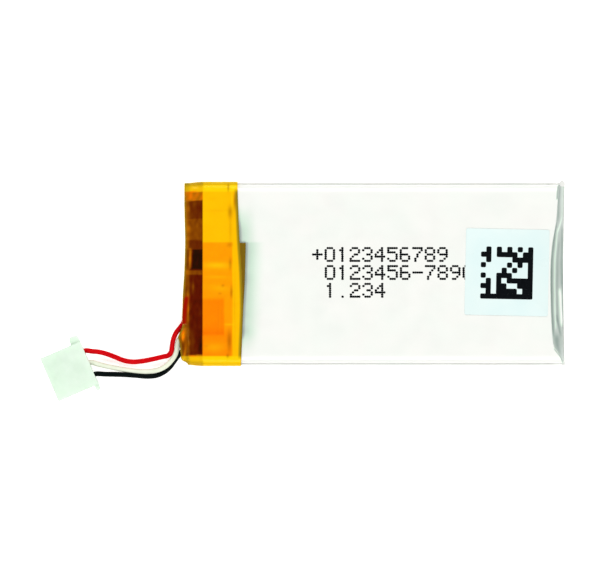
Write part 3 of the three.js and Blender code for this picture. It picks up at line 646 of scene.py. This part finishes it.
def back_sheet():
    """The back sheet: flat beneath, folded at the tail, turned up as the side seals' outer layers."""
    rows, columns = 120, 96
    points = []
    for i in range(rows + 1):
        f = i / rows
        for j in range(columns + 1):
            side, y, up = back_profile(mix(-1, 1, j / columns))
            if up is None:
                end = FOLD_X + 0.02 + 0.12 * (y / CUP_Y) ** 2
                x = mix(BACK_LOW.x + 0.25, end, f)
                over = max(y - (BACK_Y - BACK_BEND), 0.0) / BACK_BEND
                z = BACK_BEND * (1 - math.sqrt(max(1 - over ** 2, 0.0)))
                z += 0.1 * ease(end - 0.14, end, x) * (1 - over)
                z += BACK_STEP * (1 - ease(-13.25, -12.85, x)) * (1 - over)
            else:
                end = 18.15 + 0.5 * hump(0.3, 0.34, up)
                x = mix(BACK_LOW.x + 0.9, end, f)
                z = mix(BACK_BEND, seal_top(x), up)
                y += 0.012 * wave(x, z, 2.2, side * 4)
            points.append((x, side * y, z))
    sheet = mesh_object("pouch_back", points, grid_faces(rows + 1, columns + 1))
    return thicken(weld(sheet), FILM)


front = joined("pouch_front_skin", front_cup(), seal_strips())
place(shade(set_tint(front, laminate_painted_shade), 50), "laminate", "pouch_front_cup")
ears = [ear(name, outline) for name, outline in EARS.items()]
back = joined("pouch_back_skin", back_sheet(), *ears)
place(shade(back, 50), "laminate", "pouch_back_sheet")


# ------ the tape at the head

TAPE, UNDER_TAPE = 0.05, 0.03  # thickness of the tape, and of the layer beneath it
TAPE_Y = TAPE_HIGH.y
SHEET_TOP = TAPE_HIGH.z
HEAD_X = -16.95  # where the tape leaves the front face for the head
TAPE_SHOULDER, TAPE_FOOT = 0.78, 0.12  # its roundings along the cell
UNDER_SHOULDER = 0.7
HEAD_DROP, HEAD_SLOPE = 0.13, 0.14  # how the tape's top falls over the head, at once and then evenly
HEAD_RISE = 0.24  # how far its underside rises there
HEAD_NARROWING = 0.13  # how far each of its sides draws in there
MARK_HEIGHT = 0.04  # of the strongest crease
UNDER_STEP = 0.018  # how far the layer beneath lifts it
SKIRT_DROP = 0.45  # how far it sags over the leads

# The tape's end beyond the head, as (Y, X). It draws back where the red lead comes out, and hangs
# over the other two as a skirt.
TAPE_END = [(-9.1, -18.44), (-8.85, -18.56), (-8.65, -19.02), (-8.0, -19.16), (-7.2, -19.24),
            (-6.7, -19.32), (-6.35, -19.42), (-5.9, -19.26), (-5.4, -19.06), (-5.0, -18.94),
            (-4.6, -19.02), (-3.4, -18.98), (-1.8, -18.93), (-0.3, -18.83), (1.4, -18.76),
            (3.4, -18.72), (6.5, -18.79), (9.1, -18.8)]


def tape_height(x):
    """The tape's lower and upper faces at an X."""
    upper = SHEET_TOP - HEAD_DROP * ease(HEAD_X, -17.35, x) - HEAD_SLOPE * max(-17.2 - x, 0.0)
    return HEAD_RISE * ease(-17.3, -18.6, x), upper


def around_tape(half, low, high):
    """One turn of the tape's section, as (y, z), from the middle of the underside."""
    flat, foot, side, shoulder, top = 18, 3, 8, 12, 60  # how many points each stretch has
    points = [(mix(0, half - TAPE_FOOT, i / flat), low) for i in range(flat)]
    points += [(half - inward, low + above) for above, inward in quarter_turn(TAPE_FOOT, foot)[:-1]]
    points += [(half, mix(low + TAPE_FOOT, high - TAPE_SHOULDER, i / side)) for i in range(side)]
    points += [(half - inward, high - below)
               for inward, below in quarter_turn(TAPE_SHOULDER, shoulder)[:-1]]
    points += [(mix(half - TAPE_SHOULDER, 0, i / top), high) for i in range(top)]
    mirrored = [(-y, z) for y, z in points[1:]]
    return points + [(0, high)] + mirrored[::-1]


def tape_skin():
    """The tape's outer face: a sleeve over the front, sides and back, closed over the head."""
    start = around_tape(TAPE_Y, 0, SHEET_TOP)
    points = []
    for stage, first, count in (("sleeve", 0, 34), ("head", 1, 18), ("end", 1, 6)):
        for f in (i / count for i in range(first, count + 1)):
            for k, (y0, _) in enumerate(start):
                end = follow(TAPE_END, y0)
                if stage == "sleeve":
                    x = mix(follow(TAPE_EDGE, y0), HEAD_X, f)
                elif stage == "head":
                    x = mix(HEAD_X, end, f)
                else:
                    x = end - 0.04 * math.sin(math.pi / 2 * f)
                low, high = tape_height(x)
                half = TAPE_Y - 0.02 - HEAD_NARROWING * ease(-17.0, -18.8, x)
                y, z = around_tape(half, low, high)[k]
                if stage == "end":
                    z = mix(z, (low + high) / 2, f)
                points.append(tape_wrinkle(x, y, z))
    faces = grid_faces(len(points) // len(start), len(start), wrap=True)
    keep = [face for face in faces if not in_window([points[i] for i in face])]
    skin = thicken(weld(mesh_object("head_tape_film", points, keep)), TAPE)
    return shade(set_color(skin, tape_color), 60)


# The opening in the tape's end: the X that it lies beyond, and its extent along Y and Z.
WINDOW_X, WINDOW_Y, WINDOW_Z = -18.4, (-8.2, -3.6), (0.55, 2.75)


def in_window(corners):
    """Whether a face lies in the opening that the leads come out of."""
    x, y, z = (sum(c) / len(corners) for c in zip(*corners))
    return x < WINDOW_X and WINDOW_Y[0] < y < WINDOW_Y[1] and WINDOW_Z[0] < z < WINDOW_Z[1]


def skirt(x, y):
    """1 where the tape hangs over the leads, and 0 elsewhere."""
    return ease(-18.35, -18.6, x) * ease(-4.9, -5.4, y)


def skirt_folds(x, y):
    """The folds that run across the tape where it hangs over the leads, from about -1 to 1."""
    return wave(x * 3.4, y * 0.8, 1.0, 11.0)


def tape_wrinkle(x, y, z):
    """A point of the tape moved by its creases, bubbles and the step over the layer beneath."""
    on_top = ease(2.9, 3.4, z)
    head = ease(-16.9, -17.4, x)
    lift = 0.01 * wave(x, y, 0.9, 1.0) + 0.006 * wave(x, y, 0.35, 4.0)
    lift += UNDER_STEP * ease(3.25, 3.0, y) * ease(-16.8, -16.5, x)
    lift += sum(MARK_HEIGHT * depth * strength for depth, strength in marks_at(STREAKS, x, y))
    lift += head * 0.05 * wave(x * 1.6, y, 1.1, 9.0)
    lift += skirt(x, y) * (0.1 * skirt_folds(x, y) - SKIRT_DROP)
    side = ease(8.3, 8.8, abs(y)) * 0.02 * wave(x, z, 0.8, 13.0)
    return x, y + math.copysign(side, y), z + on_top * lift


# Creases, bubbles and streaks in the tape's top over the front face: X, Y, half width, half
# length, and how brown each is with painted crease shade, or how yellow with a painted highlight
# where it's below zero.
STREAKS = [
    (-14.3, 6.1, 0.22, 0.6, 0.55), (-14.28, 4.4, 0.14, 1.3, 0.22), (-13.8, 7.2, 0.15, 0.9, 0.75),
    (-14.12, 7.4, 0.06, 0.8, -0.5), (-14.48, 8.52, 0.1, 0.38, 0.75), (-14.3, 1.0, 0.14, 0.55, 0.6),
    (-14.18, -1.8, 0.13, 0.6, 0.6), (-14.38, -6.6, 0.22, 1.0, 0.6), (-14.55, -8.05, 0.13, 0.18, 0.6),
    (-15.02, -1.15, 0.14, 0.14, 0.55), (-15.3, -1.92, 0.16, 0.12, 0.35), (-14.35, 2.85, 0.3, 0.25, 0.35),
    (-15.1, -4.2, 0.05, 1.5, 0.12), (-15.5, -4.2, 0.05, 1.5, 0.12), (-15.5, 6.25, 1.2, 0.1, 0.12),
    (-16.2, 7.4, 0.6, 0.1, 0.08), (-13.22, -3.4, 0.06, 2.4, -0.7), (-13.85, -3.6, 0.07, 3.2, 0.18),
    (-14.4, -4.98, 0.4, 0.08, -0.35), (-16.6, -7.1, 0.25, 0.1, 0.25), (-15.6, 0.85, 1.3, 0.3, -0.5),
    (-15.6, -0.3, 1.2, 0.16, -0.22), (-15.2, -1.4, 1.0, 0.3, -0.22), (-15.9, -7.2, 1.0, 0.4, -0.25),
    (-16.4, 8.35, 0.35, 0.14, -0.6), (-14.05, 8.5, 0.35, 0.25, -0.8),
]

# The same over the head, where the last value is how much deeper or paler the colour is; the paler ones
# are painted highlights on creases.
HEAD_STREAKS = [
    (-18.24, 1.4, 0.12, 0.85, -0.2), (-18.44, -3.5, 0.06, 1.2, -0.14), (-17.95, -1.3, 0.12, 0.55, -0.24),
    (-18.12, 2.3, 0.14, 0.4, -0.1), (-17.22, -6.9, 0.22, 0.9, 0.12), (-18.05, -6.6, 0.25, 1.0, -0.13),
    (-17.3, 6.5, 0.24, 0.6, 0.08), (-17.9, -4.2, 0.12, 0.9, 0.04), (-18.95, -6.15, 0.12, 0.5, -0.36),
    (-18.8, -8.0, 0.16, 0.35, -0.08), (-18.25, 7.6, 0.2, 0.3, -0.06), (-18.6, -1.2, 0.08, 0.9, 0.06),
]


def marks_at(marks, x, y):
    """Each mark's last value, with how strong the mark is at a place."""
    return [(depth, hump(place_x, width, x) * hump(place_y, length, y))
            for place_x, place_y, width, length, depth in marks
            if abs(x - place_x) < 3 * width and abs(y - place_y) < 3 * length]


# The tape's colour as it deepens, from one clear turn of it to many over the dark circuit.
AMBER = [(0.0, srgb(255, 214, 6)), (0.15, srgb(255, 192, 2)), (0.3, srgb(255, 150, 2)),
         (0.4, srgb(250, 122, 0)), (0.52, srgb(188, 106, 2)), (0.62, srgb(142, 72, 0)),
         (0.72, srgb(112, 44, 0)), (0.85, srgb(92, 10, 0)), (1.0, srgb(34, 3, 2))]
HIGHLIGHT_YELLOW = srgb(255, 222, 10)
CREASE_SHADE_BROWN = srgb(158, 82, 2)
OLIVE = srgb(150, 126, 24)
DEEP_OLIVE = srgb(126, 98, 20)
RED_BENEATH = srgb(160, 9, 0)

# What lies under the tape at the head, the circuit with painted shade between its parts: from one Y to
# another, and how deep it makes the colour.
HEAD_PATCHES = [(-7.95, -0.1, 0.85), (-0.1, 0.4, 0.66), (0.4, 2.4, 1.0), (2.4, 3.3, 0.77),
                (3.3, 5.4, 0.65), (5.4, 7.2, 0.74)]

# How deep the colour is on the face, what the layer beneath adds, and how deep it is beside the
# circuit, where the tape hangs over the leads, and where it turns down over the long sides, whose
# pale yellow there is a painted highlight.
FACE_TINT, UNDER_TINT, HEAD_TINT, SKIRT_TINT, SIDE_HIGHLIGHT_TINT = 0.14, 0.13, 0.5, 0.61, 0.02

# The middle of the red lead where it lies along the tape's end, as (Y, X).
RED_PATH = [(-5.0, -18.88), (-4.2, -18.84), (-3.4, -18.76), (-2.6, -18.64), (-2.0, -18.5)]


def tape_tint(x, y):
    """How deep the tape's colour is.

    It is painted pale yellow as a highlight where the tape turns down over the long sides, amber on
    the face, and deep over the head, where several turns of it lie over the circuit, with painted
    shade between the circuit's parts.
    """
    head = ease(-16.96, -17.04, x)
    tint = FACE_TINT + UNDER_TINT * ease(3.2, 3.0, y)
    tint += 0.02 * wave(x * 0.6, y, 0.8, 17.0) + 0.012 * wave(x, y, 0.25, 41.0)
    tint += 0.06 * ease(-4.6, -6.4, y) * ease(-14.0, -14.3, x)
    tint += 0.08 * ease(-2.2, -2.7, y) * ease(-6.2, -5.8, y) * ease(-14.85, -14.95, x)
    tint -= 0.12 * ease(-14.14, -14.04, x) * ease(3.2, 3.0, y)
    # The circuit under the head's turns of tape, partly its own dark colour and partly painted shade
    # between its parts.
    patch = sum((depth - HEAD_TINT) * ease(low - 0.06, low + 0.06, y)
                * ease(high + 0.06, high - 0.06, y) for low, high, depth in HEAD_PATCHES)
    inset = 0.22 * ease(0.3, 0.6, y) * ease(2.6, 2.3, y)
    core = ease(-18.45, -18.15, x - inset + 0.14 * wave(y, 0, 0.9, 3.0))
    patch = patch * mix(0.35, 1.0, core) + 0.07 * wave(x, y * 0.5, 0.3, 27.0)
    tint = mix(tint, HEAD_TINT + patch, head)
    # The colour deepens and pales along the skirt's folds, as painted shade and light on the crumples.
    tint = mix(tint, SKIRT_TINT + 0.16 * skirt_folds(x, y), skirt(x, y))
    tint += sum(depth * strength for depth, strength in marks_at(HEAD_STREAKS, x, y))
    # A painted highlight where the tape turns down over the long sides.
    side_highlight = ease(8.0, 8.18, abs(y)) * (1 - 0.15 * head)
    return mix(tint, SIDE_HIGHLIGHT_TINT, side_highlight) + 0.06 * ease(8.62, 8.8, abs(y))


def tape_color(x, y):
    """The tape's colour, with the painted shade and highlights of its streaks, the lead that it lies on
    and the olive of its cut edges.
    """
    color = in_steps(tape_tint(x, y), AMBER)
    over_head = ease(-16.9, -17.0, x)
    # Painted crease shade in brown and painted highlights in yellow along the streaks.
    for depth, strength in marks_at(STREAKS, x, y):
        share = abs(depth) * strength * (1 - over_head)
        color = blended(color, CREASE_SHADE_BROWN if depth > 0 else HIGHLIGHT_YELLOW, share)
    on_red = 1.4 * hump(follow(RED_PATH, y), 0.25, x) * ease(-5.1, -4.8, y) * ease(-2.0, -2.5, y)
    color = blended(color, RED_BENEATH, on_red)
    cut = ease(0.36, 0.12, follow(TAPE_EDGE, y) - x) * ease(8.5, 7.9, abs(y))
    end = 0.75 * ease(0.24, 0.05, x - follow(TAPE_END, y)) * (1 - min(on_red, 1.0))
    side = (0.35 if y > 0 else 0.15) * ease(8.66, 8.85, abs(y))
    corner = ease(7.9, 8.2, abs(y)) * (0.12 + 0.3 * ease(-18.1, -18.5, x))
    side += over_head * (corner + 0.25 * ease(8.45, 8.7, abs(y)))
    return blended(color, OLIVE, max(cut, end, side))


def under_layer():
    """The layer beneath, from the front face over the shoulder and down one long side."""
    high, half, foot = SHEET_TOP - 0.085, TAPE_Y - 0.1, 0.35
    face, shoulder, side, columns = 44, 8, 8, 34
    line = [(mix(UNDER_START, UNDER_SHOULDER - half, i / face), high) for i in range(face)]
    line += [(inward - half, high - below)
             for below, inward in quarter_turn(UNDER_SHOULDER, shoulder)]
    line += [(-half, mix(high - UNDER_SHOULDER, foot, i / side)) for i in range(1, side + 1)]
    points = []
    for y, z in line:
        for i in range(columns + 1):
            x = mix(CUP_HEAD_X, follow(UNDER_EDGE, y), i / columns)
            points.append((x, y, z + 0.006 * wave(x, y, 0.8, 31.0)))
    layer = mesh_object("under_tape_film", points, grid_faces(len(line), columns + 1))
    layer = thicken(weld(layer), UNDER_TAPE, 0)
    return shade(set_color(layer, under_color), 60)


def under_color(x, y):
    """The layer beneath is amber under the outer tape, and olive where it reaches past it."""
    edge = follow(TAPE_EDGE, y)
    return blended(in_steps(0.3, AMBER), DEEP_OLIVE, ease(edge - 0.12, edge + 0.03, x))


place(tape_skin(), "amber_tape", "head_tape")
place(under_layer(), "amber_tape", "head_tape_under_layer")


# ------ the label and the printing

def rounded_slab(x0, x1, y0, y1, radii, low, high, steps=3):
    """Points and faces of a thin slab whose four corners have their own radii."""
    outline = []
    corners = [(x1, y1, 0, radii[0]), (x0, y1, 90, radii[1]),
               (x0, y0, 180, radii[2]), (x1, y0, 270, radii[3])]
    for x, y, start, radius in corners:
        cx = x - radius if x == x1 else x + radius
        cy = y - radius if y == y1 else y + radius
        count = steps if radius else 0
        for i in range(count + 1):
            turn = math.radians(start + (90 * i / count if count else 45))
            outline.append((cx + radius * math.cos(turn), cy + radius * math.sin(turn)))
    n = len(outline)
    points = [(x, y, z) for z in (low, high) for x, y in outline]
    faces = [tuple(reversed(range(n))), tuple(range(n, 2 * n))]
    faces += [(i, (i + 1) % n, n + (i + 1) % n, n + i) for i in range(n)]
    return points, faces


def slabs_object(name, slabs, turn=0.0, centre=(0.0, 0.0)):
    """One mesh of many slabs, turned about a centre."""
    points, faces = [], []
    for slab_points, slab_faces in slabs:
        start = len(points)
        points += [(*turned(x, y, turn, centre), z) for x, y, z in slab_points]
        faces += [tuple(start + i for i in face) for face in slab_faces]
    return mesh_object(name, points, faces)


LABEL_TURN = math.radians(-1.2)
LABEL_HALF = (4.1, 4.25)
LABEL_CENTRE = ((LABEL_LOW.x + LABEL_HIGH.x) / 2, (LABEL_LOW.y + LABEL_HIGH.y) / 2)
LABEL_TOP = LABEL_HIGH.z
LABEL_CORNER, LABEL_EDGE = 0.18, 0.015  # roundings of the label's corners and edges
INK_HEIGHT = 0.012


def label_film():
    """The label: a thin film with rounded corners."""
    hx, hy = LABEL_HALF
    slab = rounded_slab(-hx, hx, -hy, hy, (LABEL_CORNER,) * 4, LABEL_LOW.z, LABEL_TOP, steps=6)
    label = slabs_object("code_label_film", [slab], LABEL_TURN, LABEL_CENTRE)
    return shade(bevel(label, LABEL_EDGE))


MODULES = 10  # cells along each side of the printed square
MODULE = 0.514  # a cell's side
INK_SHARE = 0.996  # how much of a cell's height its ink covers
INK_CORNER = 0.13
CODE_START = (-2.59, -2.64)  # the square's first corner


def is_dark(column, row):
    """Whether a cell of the printed square is black: two solid sides, two dotted, filler inside."""
    if not (0 <= column < MODULES and 0 <= row < MODULES):
        return False
    if row == 0 or column == MODULES - 1:
        return True
    if row == MODULES - 1:
        return column % 2 == 1
    if column == 0:
        return row % 2 == 0
    return (3 * column * column + 5 * row + column * row) % 7 < 4


def code_print():
    """The printed square of cells, as runs of ink with rounded outer corners."""
    slabs = []
    x_start, y_start = CODE_START
    low, high = LABEL_TOP, LABEL_TOP + INK_HEIGHT
    for row in range(MODULES):
        y = y_start + row * MODULE
        for first in range(MODULES):
            if is_dark(first - 1, row) or not is_dark(first, row):
                continue
            end = first + 1
            while is_dark(end, row):
                end += 1
            radii = [0.0 if is_dark(column, row + up) else INK_CORNER
                     for column, up in ((end - 1, 1), (first, 1), (first, -1), (end - 1, -1))]
            slabs.append(rounded_slab(x_start + first * MODULE, x_start + end * MODULE,
                                      y, y + MODULE * INK_SHARE, radii, low, high))
    return slabs_object("label_code_print", slabs, LABEL_TURN, LABEL_CENTRE)


GLYPHS = {
    "0": "01110 10001 10001 10001 10001 10001 01110",
    "1": "00100 01100 00100 00100 00100 00100 00100",
    "2": "01110 10001 00001 00110 01000 10000 11111",
    "3": "01110 10001 00001 00110 00001 10001 01110",
    "4": "00010 00110 01010 10010 11111 00010 00010",
    "5": "11111 10000 11110 00001 00001 10001 01110",
    "6": "01110 10000 10000 11110 10001 10001 01110",
    "7": "11111 00001 00010 00100 00100 01000 01000",
    "8": "01110 10001 10001 01110 10001 10001 01110",
    "9": "01110 10001 10001 01111 00001 00010 01100",
    "+": "00000 00100 00100 11111 00100 00100 00000",
    "-": "00000 00000 00000 11111 00000 00000 00000",
    ".": "00000 00000 00000 00000 00000 00000 00100",
}
DOT_PITCH = 0.205
ROW_PITCH = DOT_PITCH * 1.02
LETTER_DOTS = 6  # dots from one letter to the next
DOT_HALF = (0.125, 0.108)
DOT_CORNER = 0.09
INK_SINK = 0.004  # how far the dots reach into the face

# Each line of the printing, with the X where it starts and the Y of its upper edge.
LINES = [("+0123456789", -6.25, 2.64), ("0123456-7890", -5.0, 0.87), ("1.234", -5.0, -0.88)]


def dot_print():
    """Three lines of counting digits, printed as dots on the front face."""
    slabs = []
    for text, x_start, y_top in LINES:
        dots = [(place_in_line * LETTER_DOTS + c, r) for place_in_line, letter in enumerate(text)
                for r, row in enumerate(GLYPHS[letter].split())
                for c, mark in enumerate(row) if mark == "1"]
        for column, row in dots:
            x = x_start + (column + 0.5) * DOT_PITCH
            y = y_top - (row + 0.5) * ROW_PITCH
            x += 0.012 * wave(x * 9, y * 9, 1.0, 3.0)
            top = TOP + face_relief(x, y)
            slabs.append(rounded_slab(
                x - DOT_HALF[0], x + DOT_HALF[0], y - DOT_HALF[1], y + DOT_HALF[1],
                (DOT_CORNER,) * 4, top - INK_SINK, top + INK_HEIGHT, steps=2))
    return slabs_object("face_digit_print", slabs)


place(label_film(), "label", "code_label")
for marks in (code_print(), dot_print()):
    marks.data.materials.append(INK)
    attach(marks, "root")


# ------ the leads

LEAD_R = 0.25
LEAD_SIDES = 18
LEAD_EDGE = 0.03  # rounding of a lead's cut ends
ROUTE_STEPS = 5  # points from one point of a route to the next

PLUG_REAR = (-28.19, -8.75)  # middle of the face that the leads enter
PLUG_TURN = math.radians(203.3)  # the way the plug points
PLUG_MID_Z = 1.1
PLUG_PITCH = 1.25
PLUG_DEPTHS = (-0.12, 0.25, 0.8)  # a lead's last points, by how far inside the plug they are

# Each lead's route from its solder joint to just short of the plug, in the order of their rows
# in the plug.
LEADS = {
    "red": [
        (-18.12, -1.55, 2.55), (-18.2, -2.1, 2.55), (-18.5, -2.75, 2.52), (-18.68, -3.45, 2.46),
        (-18.76, -4.15, 2.38), (-18.88, -4.75, 2.28), (-19.24, -5.28, 2.14), (-19.66, -5.82, 1.96),
        (-19.92, -6.45, 1.74), (-20.04, -7.1, 1.48), (-20.14, -7.68, 1.24), (-20.42, -8.02, 1.06),
        (-21.0, -8.17, 0.88), (-21.9, -8.38, 0.62), (-22.9, -8.58, 0.38), (-23.95, -8.67, 0.28),
        (-24.85, -8.52, 0.32), (-25.7, -8.18, 0.48), (-26.5, -7.88, 0.72), (-27.25, -7.69, 0.94),
        (-27.95, -7.62, 1.06)],
    "white": [
        (-18.12, -3.5, 1.85), (-18.13, -4.4, 1.85), (-18.38, -5.25, 1.84), (-18.98, -5.95, 1.78),
        (-19.42, -6.6, 1.64), (-19.54, -7.25, 1.44), (-19.72, -7.9, 1.22), (-20.12, -8.52, 1.0),
        (-20.7, -9.08, 0.78), (-21.42, -9.44, 0.58), (-22.3, -9.6, 0.38), (-23.3, -9.6, 0.28),
        (-24.4, -9.48, 0.3), (-25.5, -9.3, 0.5), (-26.5, -9.1, 0.8), (-27.25, -8.92, 1.0)],
    "black": [
        (-18.12, -5.35, 1.15), (-18.14, -6.1, 1.15), (-18.42, -6.8, 1.1), (-18.9, -7.38, 0.98),
        (-19.36, -7.94, 0.8), (-19.8, -8.54, 0.58), (-20.24, -9.14, 0.4), (-20.78, -9.62, 0.29),
        (-21.5, -9.98, 0.26), (-22.4, -10.1, 0.27), (-23.5, -10.02, 0.28), (-24.6, -9.94, 0.4),
        (-25.7, -9.9, 0.62), (-26.6, -9.88, 0.88)],
}


def smooth_route(points):
    """Points along a centripetal Catmull-Rom curve through a route."""
    knots = [np.array(p, float) for p in points]
    knots = [2 * knots[0] - knots[1], *knots, 2 * knots[-1] - knots[-2]]
    route = []
    for four in zip(knots, knots[1:], knots[2:], knots[3:]):
        times = [0.0]
        for a, b in zip(four, four[1:]):
            times.append(times[-1] + np.linalg.norm(b - a) ** 0.5)
        for i in range(ROUTE_STEPS):
            t = mix(times[1], times[2], i / ROUTE_STEPS)
            blend = four
            for reach in (1, 2):
                blend = [mix(a, b, (t - times[k]) / (times[k + reach] - times[k]))
                         for k, (a, b) in enumerate(zip(blend, blend[1:]))]
            route.append(mix(*blend, i / ROUTE_STEPS))
    route.append(knots[-2])
    return route


def tube(name, route):
    """A lead's bar along a route, with its section carried along without twist."""
    tangents = [Vector(b - a).normalized() for a, b in zip(route, route[1:])]
    tangents = [tangents[0], *[(a + b).normalized() for a, b in zip(tangents, tangents[1:])],
                tangents[-1]]
    across = tangents[0].orthogonal().normalized()
    points = []
    for place_on, tangent in zip(route, tangents):
        across = (across - tangent * across.dot(tangent)).normalized()
        other = tangent.cross(across)
        for i in range(LEAD_SIDES):
            turn = 2 * math.pi * i / LEAD_SIDES
            offset = LEAD_R * (math.cos(turn) * across + math.sin(turn) * other)
            points.append(tuple(Vector(place_on) + offset))
    faces = grid_faces(len(route), LEAD_SIDES, wrap=True)
    ends = range(LEAD_SIDES), range(len(points) - LEAD_SIDES, len(points))
    faces += [tuple(reversed(ends[0])), tuple(ends[1])]
    return weld(mesh_object(name, points, faces))


for row, (color, route) in zip((-1, 0, 1), LEADS.items()):
    entry = [(*turned(x, row * PLUG_PITCH, PLUG_TURN, PLUG_REAR), PLUG_MID_Z) for x in PLUG_DEPTHS]
    lead = bevel(tube(color + "_insulation", smooth_route(route + entry)), LEAD_EDGE, angle=60)
    place(shade(lead), color + "_insulation", color + "_lead")


# ------ moulded and punched pieces

# The CAD nodes that are rounded, with the width of their rounding.
ROUNDED = {"plug_housing": 0.07, "protection_board": 0.03, "power_mosfet": 0.03,
           "protection_ic": 0.03, "sense_resistor": 0.02, "filter_capacitor": 0.03,
           "thermistor": 0.03}
for name, width in ROUNDED.items():
    place(refined(name, width), SLOTS[name], name)


# ------ camera, floor and light

FRAME_CENTRE = (-7.44, -1.63)  # the middle of the picture, on the cell
FRAME_WIDTH = 58.96  # the width of the picture, on the cell
CAMERA_HEIGHT = 900.0
SENSOR = 36.0


def make_camera():
    """A long lens that looks straight down."""
    camera = bpy.data.cameras.new("camera")
    camera.sensor_width = SENSOR
    camera.lens = SENSOR * (CAMERA_HEIGHT - TOP) / FRAME_WIDTH
    camera.clip_start = 0.01
    camera.clip_end = 10
    obj = new_object("camera", camera)
    obj.location = (FRAME_CENTRE[0] * MM, FRAME_CENTRE[1] * MM, CAMERA_HEIGHT * MM)
    bpy.context.scene.camera = obj


def make_floor():
    """A plain pale floor."""
    half, gap = 600.0, 0.02
    floor = mesh_object("floor", [(-half, -half, 0), (half, -half, 0), (half, half, 0),
                                  (-half, half, 0)], [(0, 1, 2, 3)])
    floor.location.z = -gap * MM
    floor.data.materials.append(surface("floor_paint", (250, 250, 250), (249, 249, 249), 0.7,
                                        size=80.0, spread=0.02, Emission_Color=(1, 1, 1, 1),
                                        Emission_Strength=0.5))


SOFT_BOX_Y, SOFT_BOX_Z = 420, 460
SOFT_BOX_SIZE = 380
SOFT_BOX_POWER = 2.5  # watts


def make_light():
    """Two soft boxes that face the cell from beside its long sides, and an even pale surround."""
    for side in (1, -1):
        light = bpy.data.lights.new("soft_box", "AREA")
        light.shape = "SQUARE"
        light.size = SOFT_BOX_SIZE * MM
        light.energy = SOFT_BOX_POWER
        obj = new_object("soft_box", light)
        obj.location = (0, side * SOFT_BOX_Y * MM, SOFT_BOX_Z * MM)
        obj.rotation_euler = (-obj.location).to_track_quat("-Z", "Y").to_euler()
    world = bpy.data.worlds.new("surround")
    world.use_nodes = True
    feed(world.node_tree, world.node_tree.nodes["Background"],
         {"Color": (0.97, 1.0, 0.985, 1), "Strength": 0.42})
    bpy.context.scene.world = world
    bpy.context.scene.view_settings.view_transform = "Standard"


make_camera()
make_floor()
make_light()
